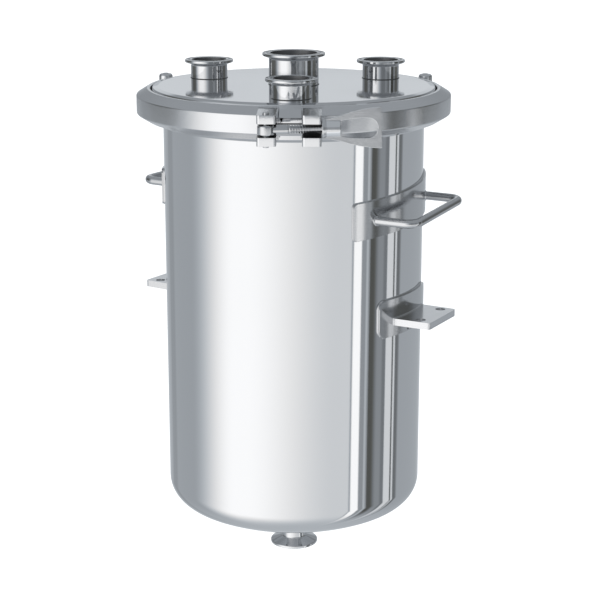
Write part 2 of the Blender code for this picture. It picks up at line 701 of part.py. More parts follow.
def main():
    clear_scene()
    shell()
    bottom_head()
    drain_port()
    body_flange()
    lid_gasket()
    lid()
    ports()
    front_segment("clamp_front_left", -1.0)
    front_segment("clamp_front_right", 1.0)
    rear_segment()
    hinge_pins()
    swing_bolt_pin()
    bolt = swing_bolt()
    nut = wing_nut()
    nut.parent = bolt
    nut.location = nut.location - bolt.location
    handles_and_brackets()


main()
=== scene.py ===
"""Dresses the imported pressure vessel: every piece is modelled again with its real edges, threads and
weld beads, given a polished steel finish, and stood in a plain white studio."""

import json
import math

import bmesh
import bpy
from bpy.props import FloatProperty, FloatVectorProperty, PointerProperty
from mathutils import Matrix, Vector


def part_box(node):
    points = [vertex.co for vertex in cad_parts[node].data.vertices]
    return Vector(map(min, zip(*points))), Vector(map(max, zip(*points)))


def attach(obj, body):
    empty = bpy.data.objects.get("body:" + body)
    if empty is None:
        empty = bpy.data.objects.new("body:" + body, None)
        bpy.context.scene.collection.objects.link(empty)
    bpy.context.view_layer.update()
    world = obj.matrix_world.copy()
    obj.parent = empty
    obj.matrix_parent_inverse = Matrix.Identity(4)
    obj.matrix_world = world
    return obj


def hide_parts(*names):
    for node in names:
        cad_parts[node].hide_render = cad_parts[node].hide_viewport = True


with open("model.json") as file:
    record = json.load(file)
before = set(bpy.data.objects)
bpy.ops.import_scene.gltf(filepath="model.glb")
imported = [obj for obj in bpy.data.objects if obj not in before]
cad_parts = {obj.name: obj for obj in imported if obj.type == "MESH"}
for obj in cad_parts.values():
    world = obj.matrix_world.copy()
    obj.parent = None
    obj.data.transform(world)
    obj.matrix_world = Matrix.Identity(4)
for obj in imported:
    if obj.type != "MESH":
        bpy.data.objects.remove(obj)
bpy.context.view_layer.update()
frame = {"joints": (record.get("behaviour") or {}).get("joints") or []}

bl_info = {
    "name": "Pressure Vessel Maker",
    "version": (1, 0, 0),
    "blender": (4, 5, 0),
    "location": "View3D > Sidebar > Vessel",
    "description": "Builds a clamped stainless pressure vessel piece by piece",
    "category": "Object",
}

MM = 0.001


def box_of(name):
    """Lowest and highest corner of a node, in metres."""
    low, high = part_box(name)
    return Vector(low), Vector(high)


def middle(name):
    """Middle of a node's box."""
    low, high = box_of(name)
    return (low + high) / 2.0


# The vessel's axis and the lid's top face, read from the frame; pieces are drawn from that point
SHELL_LOW, SHELL_HIGH = box_of("shell")
AXIS = Vector(((SHELL_LOW.x + SHELL_HIGH.x) / 2.0, 0.0, box_of("lid")[1].z))
SHELL_R = (SHELL_HIGH.x - SHELL_LOW.x) / 2.0
SHELL_BOTTOM = SHELL_LOW.z - AXIS.z
JOINTS = {joint["name"]: joint for joint in frame["joints"]}
BOLT_PIVOT = Vector(JOINTS["bolt_swing"]["pos_m"]) - AXIS
BOLT_DIRECTION = Vector(JOINTS["wing_nut_turn"]["axis"]).normalized()
NUT_BASE = (Vector(JOINTS["wing_nut_turn"]["pos_m"]) - AXIS - BOLT_PIVOT).length
JOINT_Z = BOLT_PIVOT.z

# Lid, gasket and body flange
RIM_R = (box_of("lid")[1].x - box_of("lid")[0].x) / 2.0
PLATEAU_R = 141.4 * MM
LID_FLAT_R = 138.3 * MM
LID_TAPER = (143.9 * MM, 1.2 * MM)      # radius and depth of the lower end of the lid's taper
LID_EDGE = (145.5 * MM, 5.2 * MM)       # and of the edge below it
LID_RIM_FACE = 5.8 * MM                 # upright part of the lid's rim above the joint's middle
FLANGE_RIM_FACE = 6.5 * MM              # and of the flange's rim below it
RIM_SLOPE = 0.6146                      # rise of the flange's wedge face for each unit of radius
LID_PLATE = 11.0 * MM
LID_RECESS_R = 122.0 * MM
GASKET_HALF = 0.5 * MM
GASKET_IN_R = 131.2 * MM
NECK_BOTTOM = -34.8 * MM
NECK_CHAMFER = 2.6 * MM
NECK_WELD = 1.2 * MM
SEAT_GAP = 0.3 * MM
HAIR = 0.1 * MM                         # least overlap or clearance that is drawn
SAME_PLACE = 1e-6                       # points nearer than this, in metres, are one
DISH_CROWN_R = 2.0 * SHELL_R
DISH_CORNER_R = 0.2 * SHELL_R
DISH_PARTS = 20

# Clamp segments: half heights are from the joint's middle
BAND_R = 160.4 * MM
BAND_FACE_HALF = 8.95 * MM
LIP_R = 146.2 * MM
LIP_UNDER = 13.8 * MM
LIP_TOP = (149.4 * MM, 15.7 * MM)       # outer edge of the lip's flat top, and its height
GROOVE_R = 153.2 * MM
GROOVE_HALF = 9.4 * MM
SPLIT_DEG = -62.0
SPLIT_TURN = 4.19                       # degrees from the split to the end of each front segment
HINGE_STEP = 120.0                      # degrees from the split to a hinge
HINGE_TURN = 0.215                      # degrees from a hinge to the end of a segment
HINGE_R = 160.0 * MM
KNUCKLE_R = 7.25 * MM
KNUCKLE_HALF = 18.4 * MM
KNUCKLE_DOME = 3.0 * MM
KNUCKLE_MID = 6.0 * MM                  # half height of the rear segment's knuckle
KNUCKLE_CUT_R = KNUCKLE_R + 0.4 * MM    # room cut round a neighbour's knuckle
PIN_R = 3.0 * MM
PIN_BORE_R = 3.15 * MM

# Lugs, swing bolt and wing nut: offsets run along the bolt from the split
LUG_SPAN = (11.8 * MM, 29.9 * MM)
LUG_ROOT = ((155.0 * MM, 9.6 * MM), (147.5 * MM, 13.9 * MM))    # (radius, half height) in the band
LUG_FRONT = 196.0 * MM
LUG_HALF = 14.4 * MM
LUG_ROUND = 2.8 * MM
SLOT_HALF = 6.2 * MM
SLOT_ROOT = 167.0 * MM
BOLT_LINE = 189.0 * MM
PIN_OFFSET = 21.3 * MM
EYE_R = 8.2 * MM
EYE_HALF = 5.1 * MM
EYE_ROUND = 2.2 * MM
SHANK_START = 0.6 * EYE_R - PIN_OFFSET
SHANK_R = 4.1 * MM
PLAIN_R = 4.6 * MM
BOLT_END = 45.0 * MM
BOLT_CHAMFER = 0.8 * MM
THREAD_START = -0.6 * MM
THREAD_RUN_IN = 0.4 * MM
THREAD_STEPS = 36                       # points round the shank
THREAD_ROWS = 8                         # rows of them for each turn of the thread
NUT_FLANGE = (9.3 * MM, 2.4 * MM)       # radius and thickness
NUT_FLANGE_FACE = 0.6                   # share of the thickness that stands upright
NUT_FLANGE_FOOT = 1.6                   # height of the cone's top, in thicknesses
HUB_R = 8.1 * MM
HUB_END = 47.4 * MM
NUT_BORE_R = 4.35 * MM
NUT_CORE_R = 0.4 * NUT_BORE_R           # middle left open until the nut is bored
WING_START = 39.0 * MM
WING_THICK = 5.0 * MM
WING_EDGE = 1.1 * MM
WING_LEAN = -1.8                        # degrees that the wing leans back from upright
WING_RIM = (0.15, 0.97)                 # how far a rim face that takes the painted highlight looks to the side, least and most

# Half outlines of the wing and its opening, as (half height, distance along the bolt)
WING_SIDE = ((8.6 * MM, 33.4 * MM), (9.4 * MM, 36.0 * MM), (10.0 * MM, 39.0 * MM),
             (11.718 * MM, 47.0 * MM), (15.12 * MM, 58.0 * MM), (17.388 * MM, 70.0 * MM),
             (18.9 * MM, 83.3 * MM))
WING_CORNER = ((18.45 * MM, 84.35 * MM), (17.4 * MM, 84.8 * MM))
WING_HOLE_SIDE = ((7.4 * MM, 48.2 * MM), (9.021 * MM, 60.15 * MM), (9.3 * MM, 72.1 * MM))

# Ports and drain: bore and outside of each tube
SIDE_PORTS = ("port_front", "port_right", "port_left")
SIDE_TUBE_R = (17.85 * MM, 19.05 * MM)
CENTRE_TUBE_R = (23.9 * MM, 25.4 * MM)
DRAIN_TUBE_R = (11.3 * MM, 12.7 * MM)
FERRULE_RIM = 2.85 * MM
FERRULE_CONE = 0.364                    # a back face of 20 degrees
FERRULE_GROOVE = (0.4 * MM, 0.62)       # how far out from the middle, and its depth for its radius
BORE_REACH = 0.3 * MM                   # what lies this near to a bore has its finish

# Handles, brackets and their pads
PAD_THICK = 2.5 * MM
PAD_CORNER = {"handle": 4.0 * MM, "bracket": 9.0 * MM}
PAD_HALF = {"handle": (82.5 * MM, 18.5 * MM), "bracket": (51.5 * MM, 19.5 * MM)}
PAD_FACE = SHELL_R + SEAT_GAP + PAD_THICK
ROD_R = 4.4 * MM
ROD_BEND = 12.0 * MM
ROD_ROOT = PAD_FACE - 22.0 * MM         # where the rod starts before its pad's curve trims it
ROD_TRIM_R = PAD_FACE - 0.2 * MM
SIDES = {
    "right": {"direction": 0.0, "pad_z": -113.5 * MM, "pad_tilt": 4.2, "rod_z": -116.5 * MM,
              "rod_tilt": 3.4, "half": 55.0 * MM, "reach": 165.0 * MM},
    "left": {"direction": 176.3, "pad_z": -105.5 * MM, "pad_tilt": 0.0, "rod_z": -107.0 * MM,
             "rod_tilt": 0.0, "half": 50.0 * MM, "reach": 156.0 * MM},
}
PLATE_TOP = box_of("bracket_plate_right")[1].z - AXIS.z
PLATE_THICK = 7.0 * MM
PLATE_HALF = 32.5 * MM
PLATE_REACH = 172.0 * MM
PLATE_CORNER = 3.0 * MM
HOLE_LINE = 158.5 * MM
HOLE_HALF = 23.5 * MM
HOLE_R = 5.0 * MM
BRACKET_PAD_RISE = 1.0 * MM
WEEP_HOLE_R = 2.0 * MM
WEEP_HOLE = (-6.0 * MM, -16.2 * MM)     # across and down from the middle of the pad
WEEP_SPAN = (SHELL_R + 0.3 * MM, SHELL_R + 10.0 * MM)

# Weld beads
RIPPLE = 1.6 * MM                       # length of one ripple
BEAD_STEP = 1.5 * MM                    # length of one piece of a bead round a pad
RING_STEP = 1.2 * MM                    # and of one in a ring
# Radius of some beads for the Weld bead slider, and height of the ripples for the radius
BEAD_SIZES = {"drain": 1.1, "port": 0.75}
RIPPLES = {"pad": 0.05, "foot": 0.06, "ring": 0.04, "shell": 0.02}
FOOT_LIFT = 0.2 * MM                    # of a ring outside the wall that it stands on

# Steps round a full turn, or along a curve
BIG_STEPS = 192
PORT_STEPS = 96
SMALL_STEPS = 48
ROD_STEPS = 32
WEEP_STEPS = 24
BEAD_STEPS = 8
SEGMENT_STEPS = 66
BEND_PARTS = 14
CORNER_PARTS = 6
GROOVE_PARTS = 8
CURVE_PARTS = 6
LONG_PARTS = 40
ARC_PARTS = 24

UP = Vector((0.0, 0.0, 1.0))
WHITE = (1.0, 1.0, 1.0)


class VesselSizes(bpy.types.PropertyGroup):
    """Sizes of the fine detail."""

    wall: FloatProperty(name="Wall", description="Thickness of the shell and the dished bottom",
                        default=3.0 * MM, unit="LENGTH")
    weld: FloatProperty(name="Weld bead", description="Radius of the beads at pads, plates and rods",
                        default=0.9 * MM, unit="LENGTH")
    pitch: FloatProperty(name="Thread pitch", description="Advance of the bolt's thread in a turn",
                         default=2.4 * MM, unit="LENGTH")
    thread: FloatProperty(name="Thread depth", description="Depth of the bolt's thread",
                          default=1.0 * MM, unit="LENGTH")
    edge: FloatProperty(name="Edge rounding", description="Radius broken on plate and lug edges",
                        default=0.6 * MM, unit="LENGTH")
    groove: FloatProperty(name="Ferrule groove", description="Radius of the gasket groove in a ferrule",
                          default=1.3 * MM, unit="LENGTH")


class VesselFinish(bpy.types.PropertyGroup):
    """Colours and polish."""

    mirror: FloatVectorProperty(name="Mirror steel", description="Colour of the lid and the shell",
                                default=(0.70, 0.705, 0.715), subtype="COLOR", min=0.0, max=1.0)
    buffed: FloatVectorProperty(name="Buffed steel", description="Colour of ports, clamp and plates",
                                default=(0.68, 0.685, 0.695), subtype="COLOR", min=0.0, max=1.0)
    satin: FloatVectorProperty(name="Satin steel", description="Colour of rods, pins and the bolt",
                               default=(0.62, 0.625, 0.635), subtype="COLOR", min=0.0, max=1.0)
    seal: FloatVectorProperty(name="Seal", description="Colour of the gasket between the rims",
                              default=(0.12, 0.12, 0.12), subtype="COLOR", min=0.0, max=1.0)
    # Very dark steel that paints shade: inside the lugs' slots and along the foot of each port
    seam: FloatVectorProperty(name="Seam steel", description="Colour of steel inside seams and slots",
                              default=(0.12, 0.12, 0.12), subtype="COLOR", min=0.0, max=1.0)
    polish: FloatProperty(name="Polish", description="Roughness of the mirror finish",
                          default=0.05, subtype="FACTOR", min=0.0, max=1.0)


def sizes():
    return bpy.context.scene.vessel_sizes


def finish():
    return bpy.context.scene.vessel_finish


# Mesh helpers

def polar(r, a, z=0.0):
    """Point at a radius, an angle in radians and a height."""
    return (r * math.cos(a), r * math.sin(a), z)


def arc(centre, radius, first, last, parts):
    """Points (x, y) along an arc between two angles in degrees, with both its ends."""
    x, y = centre
    out = []
    for i in range(parts + 1):
        a = math.radians(first + (last - first) * i / parts)
        out.append((x + radius * math.cos(a), y + radius * math.sin(a)))
    return out


def bearing(degrees):
    """Outward unit vector at an angle round the vessel."""
    return Vector(polar(1.0, math.radians(degrees)))


def facing(degrees):
    """Matrix whose x axis points outwards at an angle round the vessel."""
    return Matrix.Rotation(math.radians(degrees), 4, "Z")


def place_mesh(name, mesh):
    """Object that shows a mesh."""
    obj = bpy.data.objects.new(name, mesh)
    bpy.context.scene.collection.objects.link(obj)
    return obj


def new_object(name, verts, faces):
    """Object from points and faces, with double points joined and faces turned outwards."""
    mesh = bpy.data.meshes.new(name)
    mesh.from_pydata([tuple(v) for v in verts], [], faces)
    bm = bmesh.new()
    bm.from_mesh(mesh)
    bmesh.ops.remove_doubles(bm, verts=bm.verts, dist=SAME_PLACE)
    bmesh.ops.recalc_face_normals(bm, faces=bm.faces)
    bm.to_mesh(mesh)
    bm.free()
    return place_mesh(name, mesh)


def skin(name, rings, joined=False):
    """Solid over rings of as many points each; the last ring joins the first, or both ends are capped."""
    count, steps = len(rings), len(rings[0])
    faces = []
    for i in range(count if joined else count - 1):
        here, there = i * steps, (i + 1) % count * steps
        for k in range(steps):
            m = (k + 1) % steps
            faces.append((here + k, there + k, there + m, here + m))
    if not joined:
        faces += [tuple(range(steps)), tuple(range((count - 1) * steps, count * steps))]
    return new_object(name, [point for ring in rings for point in ring], faces)


def shift(obj, matrix):
    """Move and turn the points of a piece."""
    obj.data.transform(matrix)
    return obj


def move(obj, spot):
    """Move the points of a piece without turning them."""
    return shift(obj, Matrix.Translation(spot))


def bake(obj):
    """Replace an object's mesh with the result of its modifiers."""
    graph = bpy.context.evaluated_depsgraph_get()
    done = bpy.data.meshes.new_from_object(obj.evaluated_get(graph))
    obj.modifiers.clear()
    old = obj.data
    obj.data = done
    bpy.data.meshes.remove(old)
    return obj


def combine(obj, tools, operation):
    """Boolean union or difference with each tool, which is used up."""
    for tool in tools:
        mod = obj.modifiers.new(operation.lower(), "BOOLEAN")
        mod.operation = operation
        mod.solver = "EXACT"
        mod.object = tool
        bake(obj)
        bpy.data.objects.remove(tool, do_unlink=True)
    return obj


def gather(name, parts):
    """Join objects into one, without changing their shapes."""
    bm = bmesh.new()
    for part in parts:
        bm.from_mesh(part.data)
        bpy.data.objects.remove(part, do_unlink=True)
    mesh = bpy.data.meshes.new(name)
    bm.to_mesh(mesh)
    bm.free()
    return place_mesh(name, mesh)


def break_edges(obj, width, segments=2, angle=50.0):
    """Round the sharp edges of a piece."""
    mod = obj.modifiers.new("edges", "BEVEL")
    mod.width = width
    mod.segments = segments
    mod.limit_method = "ANGLE"
    mod.angle_limit = math.radians(angle)
    mod.use_clamp_overlap = True
    return bake(obj)


def rounded(outline, parts=4):
    """Closed outline from points (x, y) or (x, y, corner radius)."""
    out = []
    for i, point in enumerate(outline):
        here = Vector(point[:2])
        radius = point[2] if len(point) > 2 else 0.0
        if radius <= 0.0:
            out.append(tuple(here))
            continue
        before = (Vector(outline[i - 1][:2]) - here).normalized()
        after = (Vector(outline[(i + 1) % len(outline)][:2]) - here).normalized()
        half = before.angle(after) / 2.0
        reach = radius / math.tan(half)
        centre = here + (before + after).normalized() * (radius / math.sin(half))
        first = here + before * reach - centre
        last = here + after * reach - centre
        sweep = first.angle_signed(last)
        for k in range(parts + 1):
            out.append(tuple(centre + Matrix.Rotation(-sweep * k / parts, 2) @ first))
    return out


def lathe(name, profile, steps=BIG_STEPS, start=0.0, end=360.0):
    """Turn a closed (r, z) profile about the axis, all round or between two angles."""
    full = end - start == 360.0
    rings = []
    for i in range(steps if full else steps + 1):
        a = math.radians(start + (end - start) * i / steps)
        rings.append([polar(r, a, z) for r, z in profile])
    return skin(name, rings, full)


def rod(name, radius, low, high, steps=SMALL_STEPS, rounding=0.0):
    """Upright round bar on the axis, with rounded ends if asked."""
    profile = [(0.0, low), (radius, low, rounding), (radius, high, rounding), (0.0, high)]
    return lathe(name, rounded(profile, CORNER_PARTS), steps)


def prism(name, outline, low, high):
    """Upright prism over a closed (x, y) outline."""
    return skin(name, [[(x, y, z) for x, y in outline] for z in (low, high)])


def tube(name, path, ups, radius, closed, steps, ripple=0.0):
    """Round bar along a path; ups are directions that the section keeps to, and ripple marks a weld."""
    count = len(path)
    rings = []
    run = 0.0
    for i, point in enumerate(path):
        after = path[(i + 1) % count] if closed or i < count - 1 else point
        before = path[i - 1] if closed or i else point
        tangent = (after - before).normalized()
        run += (point - before).length
        side = tangent.cross(ups[i]).normalized()
        up = side.cross(tangent)
        r = radius * (1.0 + ripple * math.sin(2.0 * math.pi * run / RIPPLE))
        turns = [polar(r, 2.0 * math.pi * k / steps) for k in range(steps)]
        rings.append([point + side * x + up * y for x, y, _ in turns])
    return skin(name, rings, closed)


def bead(path, ripple, radius, ups=None):
    """Weld bead along a closed path, whose section looks outwards from the vessel unless ups say how."""
    ups = ups or [Vector((p.x, p.y, 0.0)).normalized() for p in path]
    return tube("bead", path, ups, radius, True, BEAD_STEPS, ripple)


def dress(obj, look, slot, nodes=None, body="vessel", smooth=35.0):
    """Put a finished piece in the frame: place, shading, finish, body and the nodes it stands for, which are
    hidden.

    Where no nodes are given, it stands for the node that slot names. Edges that turn by more degrees than
    smooth stay sharp."""
    move(obj, AXIS)
    obj.data.shade_smooth()
    obj.data.set_sharp_from_angle(angle=math.radians(smooth))
    mod = obj.modifiers.new("normals", "WEIGHTED_NORMAL")
    mod.keep_sharp = True
    obj.data.materials.clear()
    obj.data.materials.append(look)
    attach(obj, body)
    nodes = (slot,) if nodes is None else nodes
    if nodes:
        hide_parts(*nodes)
    return obj


def line_faces(obj, look, within):
    """Give a further finish to the plain faces whose points all pass a test."""
    obj.data.materials.append(look)
    passed = [within(v.co) for v in obj.data.vertices]
    for face in obj.data.polygons:
        if face.material_index == 0 and all(passed[i] for i in face.vertices):
            face.material_index = len(obj.data.materials) - 1


# Finish helpers

def node(tree, kind, values=None, **settings):
    """New shader node, its inputs set to numbers or linked to sockets."""
    made = tree.nodes.new("ShaderNode" + kind)
    for key, value in settings.items():
        setattr(made, key, value)
    for key, value in (values or {}).items():
        if isinstance(value, bpy.types.NodeSocket):
            tree.links.new(value, made.inputs[key])
        else:
            made.inputs[key].default_value = value
    return made


def maths(tree, operation, a, b=0.0, clamp=False):
    """Result of one step of arithmetic."""
    return node(tree, "Math", {0: a, 1: b}, operation=operation, use_clamp=clamp).outputs[0]


def ramp(tree, value, start, end, shape="SMOOTHSTEP"):
    """Rise from 0 at start to 1 at end."""
    limits = {0: value, 1: start, 2: end, 3: 0.0, 4: 1.0}
    return node(tree, "MapRange", limits, interpolation_type=shape).outputs[0]


def blend_to(tree, base, mask, level):
    """Base value taken to a level by a mask."""
    return node(tree, "Mix", {0: mask, 2: base, 3: level}).outputs[0]


def tinted(tree, mask, *colours):
    """Colour between two by a mask."""
    first, second = [c if isinstance(c, bpy.types.NodeSocket) else (*c, 1.0) for c in colours]
    return node(tree, "Mix", {0: mask, 6: first, 7: second}, data_type="RGBA").outputs[2]


def noise(tree, place, scale, detail, **more):
    """Height of a cloudy texture at a place."""
    values = {"Vector": place, "Scale": scale, "Detail": detail, **more}
    return node(tree, "TexNoise", values).outputs[0]


def object_place(tree):
    """Point of the surface in the frame."""
    return node(tree, "TexCoord").outputs["Object"]


def new_group(name, inputs, outputs):
    """Shader node group with named inputs (with their defaults) and outputs."""
    tree = bpy.data.node_groups.new(name, "ShaderNodeTree")
    for label, default in inputs.items():
        socket = tree.interface.new_socket(label, in_out="INPUT", socket_type="NodeSocketFloat")
        socket.default_value = default
    for label in outputs:
        tree.interface.new_socket(label, in_out="OUTPUT", socket_type="NodeSocketFloat")
    return tree, tree.nodes.new("NodeGroupInput").outputs, tree.nodes.new("NodeGroupOutput").inputs


def group_node(tree, maker, values=None):
    """Outputs of a shared group placed in a material; the group is made the first time."""
    group = bpy.data.node_groups.get(maker.__name__.replace("_group", "")) or maker()
    return node(tree, "Group", values, node_tree=group).outputs


# Numbers of the finishes
DEPTH_GRAIN = 180.0                     # how fast the scratches change from front to back
MARKS_FULL = 0.78                       # cloudiness at which a mark is full
PITS = (0.62, 0.80)                     # grain at which a pit starts and is full
GRAIN_SHARE = 0.12                      # height of the cast grain for that of the ripple
TINT_SPAN = (0.965, 1.02)               # darkest and lightest metal for its colour
PIT_ROUGHNESS = 0.06
LEAST_ROUGHNESS = 0.03
BUMP_DEPTH = 0.1 * MM
SEAL_ROUGHNESS = (0.5, 0.2)             # clean rubber, and what marks add
SEAL_DULL = 0.9
SEAL_MARKS = 60.0


def polishing_group():
    """Fine scratches that run round the vessel or, where Upright is 1, up a piece."""
    inputs = {"Across": 2600.0, "Along": 60.0, "Upright": 0.0, "Roughness": 0.02}
    tree, given, out = new_group("polishing", inputs, ("Height", "Roughness"))
    parts = node(tree, "SeparateXYZ", {0: object_place(tree)}).outputs
    aside = maths(tree, "SUBTRACT", parts["X"], AXIS.x)
    girth = maths(tree, "MULTIPLY", maths(tree, "ARCTAN2", parts["Y"], aside), SHELL_R)
    across = blend_to(tree, parts["Z"], given["Upright"], girth)
    along = blend_to(tree, girth, given["Upright"], parts["Z"])
    spot = {"X": maths(tree, "MULTIPLY", across, given["Across"]),
            "Y": maths(tree, "MULTIPLY", along, given["Along"]),
            "Z": maths(tree, "MULTIPLY", maths(tree, "ABSOLUTE", aside), DEPTH_GRAIN)}
    height = noise(tree, node(tree, "CombineXYZ", spot).outputs[0], scale=1.0, detail=3.0)
    tree.links.new(height, out["Height"])
    centred = maths(tree, "SUBTRACT", height, 0.5)
    tree.links.new(maths(tree, "MULTIPLY", centred, given["Roughness"]), out["Roughness"])
    return tree


def handling_group():
    """Faint cloudy marks of cleaning and hands, from 0 to 1, and a slow tint of the metal."""
    tree, given, out = new_group("handling", {"Size": 9.0, "Cover": 0.55}, ("Marks", "Tint"))
    place = object_place(tree)
    cloud = noise(tree, place, scale=given["Size"], detail=6.0, Roughness=0.62, Distortion=0.4)
    tree.links.new(ramp(tree, cloud, given["Cover"], MARKS_FULL, "LINEAR"), out["Marks"])
    tree.links.new(noise(tree, place, scale=4.0, detail=2.0), out["Tint"])
    return tree


def casting_group():
    """Shallow ripple that polishing leaves on a cast surface, with fine pits."""
    tree, given, out = new_group("casting", {"Ripple": 160.0, "Grain": 2400.0}, ("Height", "Pits"))
    place = object_place(tree)
    ripple = noise(tree, place, scale=given["Ripple"], detail=2.0)
    grain = noise(tree, place, scale=given["Grain"], detail=2.0)
    fine = maths(tree, "MULTIPLY", grain, GRAIN_SHARE)
    tree.links.new(maths(tree, "ADD", ripple, fine), out["Height"])
    tree.links.new(ramp(tree, grain, *PITS, "LINEAR"), out["Pits"])
    return tree


# Steels of the pieces: which colour and how much of it, then how rough (None is the Polish slider)
# and how deep the grain, the bump, the ripple of casting and the marks are
STEELS = {
    "mirror": ("mirror", 1.0, None, 0.015, 0.010, 0.0, 0.02),
    "lid": ("mirror", 1.0, None, 0.015, 0.008, 0.0, 0.05),
    "port": ("buffed", 1.0, 0.07, 0.03, 0.03, 0.0, 0.03),
    "clamp": ("buffed", 1.06, 0.22, 0.05, 0.04, 0.35, 0.06),
    "face": ("buffed", 1.06, 0.06, 0.02, 0.02, 0.1, 0.05),
    "bore": ("satin", 0.6, 0.45, 0.05, 0.05, 0.3, 0.05),
    # Very dark steel for painted shade in the lugs' slots and at the ports' feet
    "seam": ("seam", 1.0, 0.30, 0.05, 0.02, 0.0, 0.05),
    "pad": ("buffed", 0.88, 0.14, 0.05, 0.03, 0.0, 0.12),
    "cast": ("buffed", 1.0, 0.20, 0.05, 0.02, 0.6, 0.10),
    # Lighter steel for the rim faces of the wing: a painted highlight along its edges and round its opening
    "edge": ("buffed", 1.3, 0.12, 0.05, 0.02, 0.0, 0.05),
    "rod": ("satin", 1.0, 0.18, 0.06, 0.05, 0.0, 0.05),
    "plate": ("buffed", 1.0, 0.16, 0.08, 0.05, 0.15, 0.05),
    "bolt": ("satin", 1.0, 0.12, 0.04, 0.02, 0.0, 0.05),
    "weld": ("satin", 1.0, 0.18, 0.05, 0.04, 0.2, 0.05),
}
UPRIGHT_GRAIN = ("rod", "bolt")


def new_material(name):
    """Material with its node tree and the inputs of its shader."""
    mat = bpy.data.materials.new(name)
    mat.use_nodes = True
    return mat, mat.node_tree, mat.node_tree.nodes["Principled BSDF"].inputs


def steel(kind):
    """Polished steel: grain and marks drive its roughness and normal, and cast adds a shallow ripple."""
    name = kind + " steel"
    if name in bpy.data.materials:
        return bpy.data.materials[name]
    colour, tone, roughness, grain, bump, cast, marks = STEELS[kind]
    mat, tree, shader = new_material(name)
    shader["Metallic"].default_value = 1.0
    upright = 1.0 if kind in UPRIGHT_GRAIN else 0.0
    polishing = group_node(tree, polishing_group, {"Upright": upright, "Roughness": grain})
    handling = group_node(tree, handling_group)
    dark, light = [[share * tone * c for c in getattr(finish(), colour)] for share in TINT_SPAN]
    tree.links.new(tinted(tree, handling["Tint"], dark, light), shader["Base Color"])
    worn = maths(tree, "ADD", maths(tree, "MULTIPLY", handling["Marks"], marks), polishing["Roughness"])
    total = maths(tree, "ADD", worn, finish().polish if roughness is None else roughness)
    height = polishing["Height"]
    strength = bump
    if cast > 0.0:
        casting = group_node(tree, casting_group)
        total = maths(tree, "ADD", total, maths(tree, "MULTIPLY", casting["Pits"], PIT_ROUGHNESS))
        height = maths(tree, "ADD", maths(tree, "MULTIPLY", height, bump),
                       maths(tree, "MULTIPLY", casting["Height"], cast))
        strength = 1.0
    tree.links.new(maths(tree, "MAXIMUM", total, LEAST_ROUGHNESS, clamp=True), shader["Roughness"])
    bumped = node(tree, "Bump", {"Strength": strength, "Distance": BUMP_DEPTH, "Height": height})
    tree.links.new(bumped.outputs["Normal"], shader["Normal"])
    return mat


def seal_material():
    """Dull rubber of the gasket."""
    mat, tree, shader = new_material("seal")
    handling = group_node(tree, handling_group, {"Size": SEAL_MARKS})
    clean = tuple(finish().seal)
    dull = [SEAL_DULL * c for c in clean]
    tree.links.new(tinted(tree, handling["Tint"], dull, clean), shader["Base Color"])
    least, more = SEAL_ROUGHNESS
    rough = maths(tree, "ADD", maths(tree, "MULTIPLY", handling["Marks"], more), least)
    tree.links.new(rough, shader["Roughness"])
    return mat


# Forms of the vessel

def dish_curve(offset, r_stop):
    """Half profile of the dished bottom from its top edge in to r_stop, set in by offset."""
    edge_z = SHELL_BOTTOM - SEAT_GAP
    centre_r, reach = SHELL_R - DISH_CORNER_R, DISH_CROWN_R - DISH_CORNER_R
    crown_z = edge_z + math.sqrt(reach ** 2 - centre_r ** 2)
    crown_r = DISH_CROWN_R - offset
    turn = math.degrees(math.asin(centre_r / reach)) - 90.0
    stop = math.degrees(math.asin(r_stop / crown_r)) - 90.0
    corner = arc((centre_r, edge_z), DISH_CORNER_R - offset, 0.0, turn, DISH_PARTS)
    return corner + arc((0.0, crown_z), crown_r, turn, stop, DISH_PARTS)[1:]


def ferrule(name, tube_r, rim_r, base, top):
    """Tube that ends in a clamp ferrule with a gasket groove in its face."""
    bore, wall = tube_r
    back = top - FERRULE_RIM
    cone = back - (rim_r - wall) * FERRULE_CONE
    outwards, depth = FERRULE_GROOVE
    middle_r = (bore + rim_r) / 2.0 + outwards
    curve = arc((0.0, 0.0), sizes().groove, 0.0, 180.0, GROOVE_PARTS)
    groove = [(middle_r + x, top - depth * y) for x, y in curve]
    profile = [(bore, base), (wall, base), (wall, cone, 1.6 * MM), (rim_r, back, 0.9 * MM),
               (rim_r, top, 0.7 * MM), *groove, (bore, top, 0.4 * MM)]
    return lathe(name, rounded(profile), PORT_STEPS)


def band_profile():
    """Section of the clamp's band, as (r, z)."""
    outer_r, top = LIP_TOP
    half = [(GROOVE_R, GROOVE_HALF, 0.8 * MM), (LIP_R, LIP_UNDER, 0.5 * MM), (LIP_R, top, 0.9 * MM),
            (outer_r, top, 0.9 * MM), (BAND_R, BAND_FACE_HALF, 1.6 * MM)]
    outline = half + [(r, -z, c) for r, z, c in half[::-1]]
    return [(r, z + JOINT_Z) for r, z in rounded(outline)]


